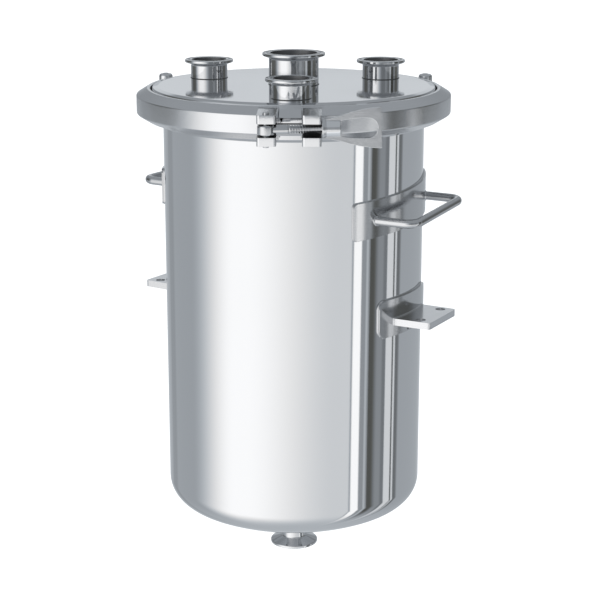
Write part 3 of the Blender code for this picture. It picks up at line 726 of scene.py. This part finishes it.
def lug(side):
    """Forked lug beside the split, to the right (+1) or left (-1); the left one is bored for the pin."""
    half = [*LUG_ROOT, (LUG_ROOT[1][0], LUG_HALF), (LUG_FRONT, LUG_HALF), (LUG_FRONT, SLOT_HALF),
            (SLOT_ROOT, SLOT_HALF)]
    outline = half + [(r, -z) for r, z in half[::-1]]
    piece = skin("lug", [[(r, side * at, z + JOINT_Z) for r, z in outline] for at in LUG_SPAN])
    bm = bmesh.new()
    bm.from_mesh(piece.data)
    edges = [e for e in bm.edges
             if all(abs(v.co.x - LUG_FRONT) < SAME_PLACE for v in e.verts)
             and abs(e.verts[0].co.y - e.verts[1].co.y) < SAME_PLACE]
    bmesh.ops.bevel(bm, geom=edges, offset=LUG_ROUND, segments=CORNER_PARTS, profile=0.5, affect="EDGES")
    bm.to_mesh(piece.data)
    bm.free()
    break_edges(piece, sizes().edge)
    if side < 0:
        bore = rod("bore", PIN_BORE_R, JOINT_Z - 2.0 * LUG_HALF, JOINT_Z + 2.0 * LUG_HALF)
        combine(piece, [move(bore, (BOLT_LINE, side * PIN_OFFSET, 0.0))], "DIFFERENCE")
    return shift(piece, facing(SPLIT_DEG))


def hinge_tool(degrees, half):
    """Upright round piece at a hinge, from the upper half of its (r, z) outline about the clamp's middle."""
    outline = [(0.0, half[-1][1])] + half[::-1]
    outline = [(p[0], -p[1], *p[2:]) for p in outline] + outline[::-1]
    profile = [(r, z + JOINT_Z) for r, z in rounded(outline, CORNER_PARTS)]
    return move(lathe("tool", profile, SMALL_STEPS), bearing(degrees) * HINGE_R)


def front_segment(name, side):
    """Front part of the clamp with its lug, and knuckles above and below the rear part's."""
    hinge = SPLIT_DEG + side * HINGE_STEP
    start, end = sorted((SPLIT_DEG + side * SPLIT_TURN, hinge - side * HINGE_TURN))
    band = lathe(name, band_profile(), SEGMENT_STEPS, start, end)
    knuckle = hinge_tool(hinge, [(KNUCKLE_R, KNUCKLE_HALF, KNUCKLE_DOME)])
    combine(band, [lug(side), knuckle], "UNION")
    low, tall = KNUCKLE_MID + SEAT_GAP, 2.0 * KNUCKLE_HALF
    cutter = hinge_tool(hinge, [(KNUCKLE_CUT_R, low), (PIN_BORE_R, low), (PIN_BORE_R, tall)])
    return combine(band, [cutter], "DIFFERENCE")


def rear_segment(name):
    """Rear part of the clamp with a knuckle at each end."""
    start, end = SPLIT_DEG + HINGE_STEP, SPLIT_DEG + 360.0 - HINGE_STEP
    band = lathe(name, band_profile(), SEGMENT_STEPS, start + HINGE_TURN, end - HINGE_TURN)
    low, tall = KNUCKLE_MID, 2.0 * KNUCKLE_HALF
    for hinge in (start, end):
        combine(band, [hinge_tool(hinge, [(KNUCKLE_R, low + MM)])], "UNION")
        cutter = hinge_tool(hinge, [(PIN_BORE_R, low), (KNUCKLE_CUT_R, low), (KNUCKLE_CUT_R, tall)])
        combine(band, [cutter], "DIFFERENCE")
    return band


def along_bolt():
    """Matrix that lays an upright piece along the bolt, with its z from the split plane."""
    z = BOLT_DIRECTION
    x = (z * z.z - UP).normalized()
    origin = BOLT_PIVOT + z * PIN_OFFSET
    return Matrix.Translation(origin) @ Matrix((x, z.cross(x), z)).transposed().to_4x4()


def threaded_shank(name):
    """Shank of the bolt: plain near the eye, then a real helical thread with a chamfered end."""
    pitch, depth = sizes().pitch, sizes().thread
    length = BOLT_END - THREAD_START
    rows = int(length / pitch * THREAD_ROWS)
    heights = [SHANK_START, THREAD_START - THREAD_RUN_IN]
    heights += [THREAD_START + length * i / rows for i in range(rows + 1)]
    rings = []
    for z in heights:
        turns = (z - THREAD_START) / pitch
        grown = min(1.0, max(0.0, turns))
        chamfer = max(0.0, z - (BOLT_END - BOLT_CHAMFER))
        ring = []
        for k in range(THREAD_STEPS):
            turn = k / THREAD_STEPS
            cut = 0.5 - 0.5 * math.cos(2.0 * math.pi * (turns - turn))
            r = PLAIN_R if z < THREAD_START else SHANK_R - depth * cut * grown - chamfer
            ring.append(polar(r, 2.0 * math.pi * turn, z))
        rings.append(ring)
    return skin(name, rings)


def smooth_line(points, parts=CURVE_PARTS):
    """Points along a smooth curve through the given (x, y) points."""
    last = len(points) - 1
    out = []
    for i in range(last):
        p0, p1, p2, p3 = [Vector(points[min(max(j, 0), last)]) for j in range(i - 1, i + 3)]
        for k in range(parts):
            t = k / parts
            square = (2.0 * p0 - 5.0 * p1 + 4.0 * p2 - p3) * t * t
            cube = (3.0 * p1 - p0 - 3.0 * p2 + p3) * t ** 3
            out.append(tuple(0.5 * (2.0 * p1 + (p2 - p0) * t + square + cube)))
    return out + [tuple(points[last])]


def wing_outline():
    """Fan outline of the wing, as (height, distance along the bolt)."""
    side = smooth_line(WING_SIDE) + list(WING_CORNER)
    return side + [(-h, d) for h, d in side[::-1]]


def wing_hole_outline():
    """Rounded opening in the wing, flat at the hub and bowed at its far end."""
    side = smooth_line(WING_HOLE_SIDE)
    high, bow = WING_HOLE_SIDE[-1]
    return side + arc((0.0, bow), high, 0.0, 180.0, ARC_PARTS)[1:-1] + [(-h, d) for h, d in side[::-1]]


def slab(name, outline, thick):
    """Flat piece in the bolt's upright plane, from (height, distance) points."""
    flat = prism(name, outline, -thick / 2.0, thick / 2.0)
    return shift(flat, Matrix.Rotation(math.pi / 2.0, 4, "X"))


def pad_columns(kind):
    """Outline of a pad as (sideways, half height) columns."""
    half_width, half_height = PAD_HALF[kind]
    corner = PAD_CORNER[kind]
    inner = half_width - corner
    left = arc((-inner, half_height - corner), corner, 180.0, 90.0, CORNER_PARTS)
    flat = [(-inner + 2.0 * inner * i / LONG_PARTS, half_height) for i in range(1, LONG_PARTS)]
    return left + flat + [(-s, h) for s, h in left[::-1]]


def on_pad(degrees, height, tilt, s, h, r):
    """Point on or above the shell, s round and h up from the middle of a pad."""
    rise = h + s * math.tan(math.radians(tilt))
    return Vector(polar(r, math.radians(degrees) + s / SHELL_R, height + rise))


def pad(name, kind, degrees, height, tilt):
    """Plate rolled to the shell."""
    inside = SHELL_R - HAIR
    corners = ((inside, -1.0), (inside, 1.0), (PAD_FACE, 1.0), (PAD_FACE, -1.0))
    rings = []
    for s, h in pad_columns(kind):
        rings.append([on_pad(degrees, height, tilt, s, side * h, r) for r, side in corners])
    return break_edges(skin(name, rings), 0.5 * sizes().edge)


def pad_bead(kind, degrees, height, tilt):
    """Weld bead round the edge of a pad."""
    columns = pad_columns(kind)
    loop = [Vector(p) for p in columns + [(s, -h) for s, h in columns[::-1]]]
    loop = [p for i, p in enumerate(loop) if (p - loop[i - 1]).length > 2.0 * HAIR]
    path = []
    for here, ahead in zip(loop, loop[1:] + loop[:1]):
        parts = max(1, round((ahead - here).length / BEAD_STEP))
        for k in range(parts):
            path.append(on_pad(degrees, height, tilt, *here.lerp(ahead, k / parts), SHELL_R + HAIR))
    return bead(path, RIPPLES["pad"], sizes().weld)


def rod_place(made):
    """Matrix from the rod's flat drawing to its place."""
    tilt = Matrix.Rotation(math.radians(made["rod_tilt"]), 4, "X")
    return facing(made["direction"]) @ Matrix.Translation((0.0, 0.0, made["rod_z"])) @ tilt


def handle_bar(name, made):
    """Bent rod that ends on the face of its pad."""
    half, bend_x = made["half"], made["reach"] - ROD_BEND
    flat = [(ROD_ROOT, -half)]
    for side, first in ((-1.0, -90.0), (1.0, 0.0)):
        flat += arc((bend_x, side * (half - ROD_BEND)), ROD_BEND, first, first + 90.0, BEND_PARTS)
    flat.append((ROD_ROOT, half))
    path = [Vector((x, y, 0.0)) for x, y in flat]
    bar = shift(tube(name, path, [UP] * len(path), ROD_R, False, ROD_STEPS), rod_place(made))
    inside = rod("inside", ROD_TRIM_R, made["rod_z"] - half, made["rod_z"] + half, BIG_STEPS)
    return combine(bar, [inside], "DIFFERENCE")


def foot_bead(made, side):
    """Weld bead round one foot of the rod."""
    place = rod_place(made)
    path, ups = [], []
    for i in range(SMALL_STEPS):
        across, up, _ = polar(ROD_R, 2.0 * math.pi * i / SMALL_STEPS)
        y = side * made["half"] + across
        x = math.sqrt(PAD_FACE ** 2 - y ** 2)
        path.append(place @ Vector((x, y, up)))
        ups.append((place.to_3x3() @ Vector((x, y, 0.0))).normalized())
    return bead(path, RIPPLES["foot"], sizes().weld, ups)


def plate(name, degrees):
    """Flat bracket plate with two bolt holes."""
    span = math.degrees(math.asin(PLATE_HALF / PAD_FACE))
    root = arc((0.0, 0.0), PAD_FACE, span, -span, ARC_PARTS)
    corners = [(PLATE_REACH, -PLATE_HALF, PLATE_CORNER), (PLATE_REACH, PLATE_HALF, PLATE_CORNER), (0.0, 0.0)]
    tip = rounded(corners, CORNER_PARTS)[:-1]
    piece = prism(name, root + tip, PLATE_TOP - PLATE_THICK, PLATE_TOP)
    holes = []
    for side in (-1.0, 1.0):
        cut = rod("hole", HOLE_R, PLATE_TOP - 2.0 * PLATE_THICK, PLATE_TOP + PLATE_THICK)
        holes.append(move(cut, (HOLE_LINE, side * HOLE_HALF, 0.0)))
    combine(piece, holes, "DIFFERENCE")
    return shift(break_edges(piece, sizes().edge, 3), facing(degrees))


def plate_bead(degrees):
    """Weld bead where a bracket plate meets its pad, all round the plate's root."""
    span = math.asin(PLATE_HALF / PAD_FACE)
    low = PLATE_TOP - PLATE_THICK
    edges = ((span, PLATE_TOP, -2.0 * span, 0.0, LONG_PARTS),
             (-span, PLATE_TOP, 0.0, -PLATE_THICK, CORNER_PARTS),
             (-span, low, 2.0 * span, 0.0, LONG_PARTS),
             (span, low, 0.0, PLATE_THICK, CORNER_PARTS))
    path = []
    for a, z, turn, rise, parts in edges:
        path += [Vector(polar(PAD_FACE, a + turn * i / parts, z + rise * i / parts)) for i in range(parts)]
    return shift(bead(path, RIPPLES["pad"], sizes().weld), facing(degrees))


def ring_bead(radius, z, size, centre=(0.0, 0.0), ripple=RIPPLES["ring"]):
    """Weld bead in a level ring."""
    steps = max(PORT_STEPS, int(2.0 * math.pi * radius / RING_STEP))
    path = [Vector((x, y, z)) for x, y in arc(centre, radius, 0.0, 360.0, steps)[:-1]]
    return bead(path, ripple, size, [UP] * steps)


def line_bore(obj, centre, radius):
    """Give the faces inside a bore their duller finish."""
    line_faces(obj, steel("bore"), lambda p: (p.xy - centre.xy).length < radius + BORE_REACH)


def line_slot(obj, side):
    """Give the faces inside a lug's slot the very dark steel of painted shade, and polish the lug's front
    faces.
    """
    back = facing(-SPLIT_DEG) @ Matrix.Translation(-AXIS)
    near, far = LUG_SPAN

    def in_slot(point):
        p = back @ point
        return (near - MM < side * p.y < far + MM and SLOT_ROOT - MM < p.x < LUG_FRONT + MM
                and abs(p.z - JOINT_Z) < SLOT_HALF + HAIR)

    # Faces inside the slot take the very dark steel: painted shade where the bolt shades the slot
    line_faces(obj, steel("seam"), in_slot)
    line_faces(obj, steel("face"), lambda p: (back @ p).x > LUG_FRONT - HAIR)


def foot_of(node_name):
    """Place of a node's upright axis on the level of the lid's face."""
    spot = middle(node_name) - AXIS
    return Vector((spot.x, spot.y, 0.0))


# Operators, one for each piece or group of like pieces

class Undoable:
    """Options that all the operators share."""

    bl_options = {"REGISTER", "UNDO"}


class VESSEL_OT_body(Undoable, bpy.types.Operator):
    """Shell and dished bottom, welded and polished into one"""

    bl_idname = "vessel.body"
    bl_label = "Shell and dished bottom"

    def execute(self, context):
        wall = sizes().wall
        outer = dish_curve(0.0, DRAIN_TUBE_R[0])
        inner = dish_curve(wall, DRAIN_TUBE_R[0])
        top = NECK_BOTTOM - NECK_CHAMFER - SEAT_GAP
        profile = [(SHELL_R - wall, top), (SHELL_R, top)] + outer + inner[::-1]
        dress(lathe("shell_and_bottom", profile), steel("mirror"), "shell", ("shell", "bottom_head"))
        return {"FINISHED"}


class VESSEL_OT_drain(Undoable, bpy.types.Operator):
    """Drain tube and ferrule under the bottom"""

    bl_idname = "vessel.drain"
    bl_label = "Drain"

    def execute(self, context):
        low, high = box_of("drain_port")
        base = dish_curve(0.0, DRAIN_TUBE_R[1])[-1][1]
        piece = ferrule("drain", DRAIN_TUBE_R, (high.x - low.x) / 2.0, -base, AXIS.z - low.z)
        flip = Matrix.Rotation(math.pi, 4, "X")
        dress(shift(piece, flip), steel("port"), "drain_port")
        weld = ring_bead(DRAIN_TUBE_R[1] + FOOT_LIFT, base, BEAD_SIZES["drain"] * sizes().weld)
        weld.name = "drain_weld"
        dress(weld, steel("weld"), "drain_port", ())
        return {"FINISHED"}


class VESSEL_OT_flange(Undoable, bpy.types.Operator):
    """Wedge-backed flange on the top of the shell, with its weld"""

    bl_idname = "vessel.flange"
    bl_label = "Body flange"

    def execute(self, context):
        bore = SHELL_R - sizes().wall
        top = JOINT_Z - GASKET_HALF
        face = JOINT_Z - FLANGE_RIM_FACE
        shoulder = face - (RIM_R - PLATEAU_R) * RIM_SLOPE
        neck = NECK_BOTTOM - NECK_CHAMFER
        profile = [(bore, top, 0.4 * MM), (RIM_R, top, 0.4 * MM), (RIM_R, face, 0.8 * MM),
                   (PLATEAU_R, shoulder, 0.5 * MM), (PLATEAU_R, NECK_BOTTOM, 0.6 * MM),
                   (PLATEAU_R - NECK_CHAMFER, neck), (bore, neck)]
        dress(lathe("body_flange_ring", rounded(profile)), steel("port"), "body_flange")
        weld = ring_bead(SHELL_R + FOOT_LIFT, neck, NECK_WELD, ripple=RIPPLES["shell"])
        weld.name = "shell_weld"
        dress(weld, steel("weld"), "body_flange", ())
        return {"FINISHED"}


class VESSEL_OT_gasket(Undoable, bpy.types.Operator):
    """Flat gasket between the rims"""

    bl_idname = "vessel.gasket"
    bl_label = "Lid gasket"

    def execute(self, context):
        low, high = JOINT_Z - GASKET_HALF, JOINT_Z + GASKET_HALF
        profile = [(GASKET_IN_R, low, 0.3 * MM), (RIM_R, low, 0.3 * MM),
                   (RIM_R, high, 0.3 * MM), (GASKET_IN_R, high, 0.3 * MM)]
        dress(lathe("gasket_ring", rounded(profile)), seal_material(), "lid_gasket")
        return {"FINISHED"}


class VESSEL_OT_lid(Undoable, bpy.types.Operator):
    """Flat mirror-polished lid with its wedge-backed rim and four bores"""

    bl_idname = "vessel.lid"
    bl_label = "Lid"

    def execute(self, context):
        bottom = JOINT_Z + GASKET_HALF
        edge_r, edge_drop = LID_EDGE
        taper_r, taper_drop = LID_TAPER
        bore = CENTRE_TUBE_R[0]
        profile = [(bore, 0.0), (bore, -LID_PLATE), (LID_RECESS_R, -LID_PLATE, 2.0 * MM),
                   (LID_RECESS_R, bottom, 0.5 * MM), (RIM_R, bottom, 0.4 * MM),
                   (RIM_R, JOINT_Z + LID_RIM_FACE, 0.8 * MM),
                   (edge_r, -edge_drop, 0.6 * MM), (taper_r, -taper_drop, 0.8 * MM),
                   (LID_FLAT_R, 0.0, 8.0 * MM)]
        piece = lathe("lid_plate", rounded(profile))
        cutters = []
        for name in SIDE_PORTS:
            cut = rod("bore", SIDE_TUBE_R[0], -2.0 * LID_PLATE, LID_PLATE, PORT_STEPS)
            cutters.append(move(cut, foot_of(name)))
        dress(combine(piece, cutters, "DIFFERENCE"), steel("lid"), "lid")
        return {"FINISHED"}


class VESSEL_OT_ports(Undoable, bpy.types.Operator):
    """Four ferrule ports on the lid and the welds at their feet"""

    bl_idname = "vessel.ports"
    bl_label = "Lid ports"

    def execute(self, context):
        beads = []
        for name in SIDE_PORTS + ("port_centre",):
            tube_r = CENTRE_TUBE_R if name == "port_centre" else SIDE_TUBE_R
            low, high = box_of(name)
            piece = ferrule(name + "_ferrule", tube_r, (high.x - low.x) / 2.0, 0.0, high.z - AXIS.z)
            foot = foot_of(name)
            dress(move(piece, foot), steel("port"), name)
            line_bore(piece, AXIS + foot, tube_r[0])
            beads.append(ring_bead(tube_r[1], 0.0, BEAD_SIZES["port"] * sizes().weld, foot.xy))
        # The port welds take the very dark steel: a painted shade line round the foot of each port
        dress(gather("port_welds", beads), steel("seam"), "lid", ())
        return {"FINISHED"}


class VESSEL_OT_clamp(Undoable, bpy.types.Operator):
    """Three clamp segments with their lugs and knuckles"""

    bl_idname = "vessel.clamp"
    bl_label = "Clamp"

    def execute(self, context):
        for node_name, side in (("clamp_front_left", -1.0), ("clamp_front_right", 1.0)):
            piece = dress(front_segment(node_name + "_segment", side), steel("clamp"), node_name)
            line_slot(piece, side)
        dress(rear_segment("clamp_rear_segment"), steel("clamp"), "clamp_rear")
        return {"FINISHED"}


class VESSEL_OT_pins(Undoable, bpy.types.Operator):
    """Domed pins of the two hinges and of the swing bolt"""

    bl_idname = "vessel.pins"
    bl_label = "Pins"

    def execute(self, context):
        for name in ("hinge_pin_right", "hinge_pin_left", "swing_bolt_pin"):
            low, high = box_of(name)
            pin = rod(name + "_bar", PIN_R, low.z - AXIS.z, high.z - AXIS.z, rounding=MM)
            dress(move(pin, foot_of(name)), steel("bolt"), name)
        return {"FINISHED"}


class VESSEL_OT_bolt(Undoable, bpy.types.Operator):
    """Swing bolt with its eye and a real thread"""

    bl_idname = "vessel.bolt"
    bl_label = "Swing bolt"

    def execute(self, context):
        foot = (BOLT_PIVOT.x, BOLT_PIVOT.y, 0.0)
        low, high = JOINT_Z - EYE_HALF, JOINT_Z + EYE_HALF
        eye = move(rod("swing_bolt_bar", EYE_R, low, high, rounding=EYE_ROUND), foot)
        combine(eye, [shift(threaded_shank("shank"), along_bolt())], "UNION")
        bore = rod("bore", PIN_BORE_R, low - EYE_HALF, high + EYE_HALF)
        combine(eye, [move(bore, foot)], "DIFFERENCE")
        dress(eye, steel("bolt"), "swing_bolt", body="bolt", smooth=40.0)
        return {"FINISHED"}


class VESSEL_OT_nut(Undoable, bpy.types.Operator):
    """Wing nut: flanged hub and a fan-shaped wing with a rounded opening"""

    bl_idname = "vessel.nut"
    bl_label = "Wing nut"

    def execute(self, context):
        base = NUT_BASE - PIN_OFFSET
        flange_r, flange = NUT_FLANGE
        face, foot = base + NUT_FLANGE_FACE * flange, base + NUT_FLANGE_FOOT * flange
        profile = [(NUT_CORE_R, base), (flange_r, base, 0.5 * MM), (flange_r, face, 0.5 * MM),
                   (HUB_R, foot, 1.5 * MM), (HUB_R, HUB_END, 1.2 * MM), (NUT_CORE_R, HUB_END)]
        nut = lathe("wing_nut_casting", rounded(profile), SMALL_STEPS)
        wing = combine(slab("wing", wing_outline(), WING_THICK),
                       [slab("hole", wing_hole_outline(), 4.0 * WING_THICK)], "DIFFERENCE")
        break_edges(wing, WING_EDGE, 3)
        combine(nut, [wing], "UNION")
        bore = rod("bore", NUT_BORE_R, base - MM, HUB_END + MM)
        combine(nut, [bore], "DIFFERENCE")
        least, most = WING_RIM
        rims = [face.index for face in nut.data.polygons
                if least < abs(face.normal.y) < most and face.center.z > WING_START]
        lean = Matrix.Rotation(math.radians(WING_LEAN), 4, "Z")
        dress(shift(nut, along_bolt() @ lean), steel("cast"), "wing_nut", body="nut")
        # Rim faces of the wing take the lighter edge steel: a painted highlight along the wing's edges and
        # round its opening
        nut.data.materials.append(steel("edge"))
        for i in rims:
            nut.data.polygons[i].material_index = 1
        return {"FINISHED"}


class VESSEL_OT_handles(Undoable, bpy.types.Operator):
    """Two bent rod handles, their rolled pads and the welds that hold them"""

    bl_idname = "vessel.handles"
    bl_label = "Handles"

    def execute(self, context):
        for side, made in SIDES.items():
            place = (made["direction"], made["pad_z"], made["pad_tilt"])
            rolled = pad("handle_pad_%s_plate" % side, "handle", *place)
            dress(rolled, steel("pad"), "handle_pad_" + side)
            dress(handle_bar("handle_%s_rod" % side, made), steel("rod"), "handle_" + side)
            beads = [pad_bead("handle", *place), foot_bead(made, -1.0), foot_bead(made, 1.0)]
            dress(gather("handle_welds_" + side, beads), steel("weld"), "handle_" + side, ())
        return {"FINISHED"}


class VESSEL_OT_brackets(Undoable, bpy.types.Operator):
    """Two bracket plates with bolt holes, their rolled pads and the welds that hold them"""

    bl_idname = "vessel.brackets"
    bl_label = "Brackets"

    def execute(self, context):
        height = PLATE_TOP + BRACKET_PAD_RISE
        across, down = WEEP_HOLE
        for side, made in SIDES.items():
            turn = made["direction"]
            rolled = pad("bracket_pad_%s_plate" % side, "bracket", turn, height, 0.0)
            hole = rod("weep", WEEP_HOLE_R, *WEEP_SPAN, WEEP_STEPS)
            lay = Matrix.Translation((0.0, across, height + down)) @ Matrix.Rotation(math.pi / 2.0, 4, "Y")
            combine(rolled, [shift(hole, facing(turn) @ lay)], "DIFFERENCE")
            dress(rolled, steel("pad"), "bracket_pad_" + side)
            dress(plate("bracket_%s_plate" % side, turn), steel("plate"), "bracket_plate_" + side)
            beads = [pad_bead("bracket", turn, height, 0.0), plate_bead(turn)]
            dress(gather("bracket_welds_" + side, beads), steel("weld"), "bracket_plate_" + side, ())
        return {"FINISHED"}


# Studio: light panels all round the vessel, as (start, soft start, end, soft end, level) in degrees
# to the right of the camera. The first list shines from below the table's edge, the second from above.
LOW_PANELS = (
    (-44.0, 6.0, 51.5, 1.5, 0.84),      # white table in front
    (-54.0, 50.0, -44.0, 84.0, 1.37),   # key light to the left
    (-146.0, 4.0, -138.0, 6.0, 0.39),
    (54.8, 1.4, 61.2, 1.6, 1.34),       # bright strip
    (62.8, 1.0, 70.2, 1.2, 0.38),
    (67.4, 0.8, 68.8, 0.9, 0.60),
    (71.4, 1.2, 90.4, 0.9, 0.34),       # dark wall
    (71.4, 1.2, 74.5, 7.0, 0.11),       # black flag
    (88.0, 3.0, 90.2, 0.8, 0.24),
    (91.5, 1.0, 102.8, 1.2, 0.86),      # edge light
    (99.5, 0.7, 100.9, 0.7, 0.16),      # thin flag
    (104.6, 1.2, 107.0, 4.0, 0.20),
)
HIGH_PANELS = (
    (-40.0, 12.0, 50.0, 2.0, 0.24),     # room behind the camera
    (-55.0, 44.0, -40.0, 48.0, 1.38),   # upper part of the key light
    (28.0, 3.0, 36.0, 3.0, 0.34),
    (56.0, 2.0, 64.0, 3.0, 0.55),
    (67.0, 2.0, 86.0, 3.0, 0.07),
    (88.0, 2.0, 95.0, 4.0, 0.30),
)
LOW_BASE = 0.47
HIGH_BASE = 0.13
BACKDROP = (165.0, 172.0, 0.715)        # angle where it starts and is full, level
BACKDROP_LOW = (0.104, 0.117)           # sines of the elevation of its lower edge
BACKDROP_TOP = (0.345, 0.295)           # and of its upper edge
WALL = (120.0, 140.0, 0.33)             # dim wall behind the vessel
SKIRTING = (166.0, 172.0, 0.55)         # its foot, below the backdrop
GAP = (175.5, 176.5, 0.18)              # dark gap in the middle of the foot
TABLE_EDGE = (-0.1405, -0.1365)         # sine of the elevation where the lower panels give way
CEILING = (0.22, 0.72, 0.40)            # sines where it starts and is full, level
UNDERSIDE = (-0.50, -1.02, 0.61)        # the same below
BEHIND = (150.0, 176.0, 0.62)           # degrees where the table behind starts and is full, level
LEAN = (-0.235, -0.45, 13.5)            # sine where panels stand true, lowest sine, lean in degrees
COOL = (0.935, 1.0, 1.065)
WARM = (1.0, 1.03, 0.97)
COOL_TO_WARM = (0.24, 0.10)             # levels between which dim light turns warm
COOL_TO_WHITE = (0.45, 1.15)            # and bright light turns white
CAMERA_BEARING = -60.7                  # where the camera stands round the vessel
CAMERA_PLACE = (0.6800, -1.4942, 0.4526)
CAMERA_PITCH = 14.708
CAMERA_HEADING = 29.12
CAMERA_LENS = 100.98
FLOOR_Z = -0.62
FLOOR_R = 14.0
FLOOR_LOOK = (0.9, 0.9, 0.85)           # colour, roughness and glow


def panels(tree, angle, base, rows):
    """Brightness all round, from a base level and a list of panels."""
    value = base
    for start, soft_start, end, soft_end, level in rows:
        rise = ramp(tree, angle, start - soft_start, start)
        fall = ramp(tree, angle, end + soft_end, end)
        value = blend_to(tree, value, maths(tree, "MULTIPLY", rise, fall), level)
    return value


class VESSEL_OT_studio(Undoable, bpy.types.Operator):
    """Pale floor, soft studio light all round and the camera"""

    bl_idname = "vessel.studio"
    bl_label = "Studio"

    def execute(self, context):
        self.light(context)
        self.floor()
        self.camera(context)
        return {"FINISHED"}

    def light(self, context):
        world = bpy.data.worlds.new("studio")
        context.scene.world = world
        world.use_nodes = True
        tree = world.node_tree
        tree.nodes.clear()
        way = node(tree, "TexCoord").outputs["Generated"]
        ahead, aside = [node(tree, "VectorMath", {0: way, 1: bearing(CAMERA_BEARING + turned)},
                             operation="DOT_PRODUCT").outputs["Value"] for turned in (0.0, 90.0)]
        rise = node(tree, "SeparateXYZ", {0: way}).outputs["Z"]
        turn = maths(tree, "DEGREES", maths(tree, "ARCTAN2", aside, ahead))
        level, lowest, amount = LEAN
        drop = maths(tree, "SUBTRACT", maths(tree, "MAXIMUM", rise, lowest), level)
        leaned = maths(tree, "SUBTRACT", turn, maths(tree, "MULTIPLY", drop, amount))
        low = panels(tree, leaned, LOW_BASE, LOW_PANELS)
        high = panels(tree, turn, HIGH_BASE, HIGH_PANELS)
        away = maths(tree, "ABSOLUTE", turn)
        high = blend_to(tree, high, ramp(tree, away, *WALL[:2]), WALL[2])
        lit = maths(tree, "MULTIPLY", ramp(tree, rise, *BACKDROP_LOW), ramp(tree, rise, *BACKDROP_TOP))
        lit = maths(tree, "MULTIPLY", lit, ramp(tree, away, *BACKDROP[:2]))
        high = blend_to(tree, high, lit, BACKDROP[2])
        foot = ramp(tree, rise, *BACKDROP_LOW[::-1])
        for start, full, level in (SKIRTING, GAP):
            mask = maths(tree, "MULTIPLY", foot, ramp(tree, away, start, full))
            high = blend_to(tree, high, mask, level)
        low = blend_to(tree, low, ramp(tree, away, *BEHIND[:2]), BEHIND[2])
        value = blend_to(tree, low, ramp(tree, rise, *TABLE_EDGE), high)
        for start, full, level in (CEILING, UNDERSIDE):
            value = blend_to(tree, value, ramp(tree, rise, start, full), level)
        shade = tinted(tree, ramp(tree, value, *COOL_TO_WARM), COOL, WARM)
        tint = tinted(tree, ramp(tree, value, *COOL_TO_WHITE), shade, WHITE)
        studio = node(tree, "Background", {"Color": tint, "Strength": value}).outputs[0]
        white = node(tree, "Background", {"Color": (*WHITE, 1.0), "Strength": 1.0}).outputs[0]
        seen = node(tree, "LightPath").outputs["Is Camera Ray"]
        both = node(tree, "MixShader", {0: seen, 1: studio, 2: white}).outputs[0]
        node(tree, "OutputWorld", {"Surface": both})

    def floor(self):
        rim = arc((0.0, 0.0), FLOOR_R, 0.0, 360.0, PORT_STEPS)[:-1]
        obj = new_object("floor", [(x, y, 0.0) for x, y in rim], [tuple(range(PORT_STEPS))])
        obj.location = (AXIS.x, 0.0, FLOOR_Z)
        mat, _, shader = new_material("floor")
        grey, roughness, glow = FLOOR_LOOK
        shader["Base Color"].default_value = (grey, grey, grey, 1.0)
        shader["Roughness"].default_value = roughness
        shader["Emission Color"].default_value = (*WHITE, 1.0)
        shader["Emission Strength"].default_value = glow
        obj.data.materials.append(mat)
        obj.visible_glossy = False

    def camera(self, context):
        data = bpy.data.cameras.new("camera")
        data.lens = CAMERA_LENS
        camera = bpy.data.objects.new("camera", data)
        camera.location = CAMERA_PLACE
        camera.rotation_euler = (math.radians(90.0 - CAMERA_PITCH), 0.0, math.radians(CAMERA_HEADING))
        context.scene.collection.objects.link(camera)
        context.scene.camera = camera
        context.scene.view_settings.view_transform = "Standard"


OPERATORS = (VESSEL_OT_body, VESSEL_OT_drain, VESSEL_OT_flange, VESSEL_OT_gasket, VESSEL_OT_lid,
             VESSEL_OT_ports, VESSEL_OT_clamp, VESSEL_OT_pins, VESSEL_OT_bolt, VESSEL_OT_nut,
             VESSEL_OT_handles, VESSEL_OT_brackets, VESSEL_OT_studio)


class VESSEL_PT_pieces(bpy.types.Panel):
    """Sidebar panel that lists the vessel's pieces"""

    bl_label = "Vessel"
    bl_idname = "VESSEL_PT_pieces"
    bl_space_type = "VIEW_3D"
    bl_region_type = "UI"
    bl_category = "Vessel"

    def draw(self, context):
        for group in (context.scene.vessel_sizes, context.scene.vessel_finish):
            for name in group.__annotations__:
                self.layout.prop(group, name)
        for operator in OPERATORS:
            self.layout.operator(operator.bl_idname)


CLASSES = (VesselSizes, VesselFinish) + OPERATORS + (VESSEL_PT_pieces,)


def register():
    for cls in CLASSES:
        bpy.utils.register_class(cls)
    bpy.types.Scene.vessel_sizes = PointerProperty(type=VesselSizes)
    bpy.types.Scene.vessel_finish = PointerProperty(type=VesselFinish)


def unregister():
    del bpy.types.Scene.vessel_finish
    del bpy.types.Scene.vessel_sizes
    for cls in reversed(CLASSES):
        bpy.utils.unregister_class(cls)


def main():
    register()
    for operator in OPERATORS:
        step = getattr(bpy.ops.vessel, operator.bl_idname.split(".")[1])
        if step() != {"FINISHED"}:
            raise RuntimeError(operator.bl_label + " was not finished")


if __name__ == "__main__":
    main()
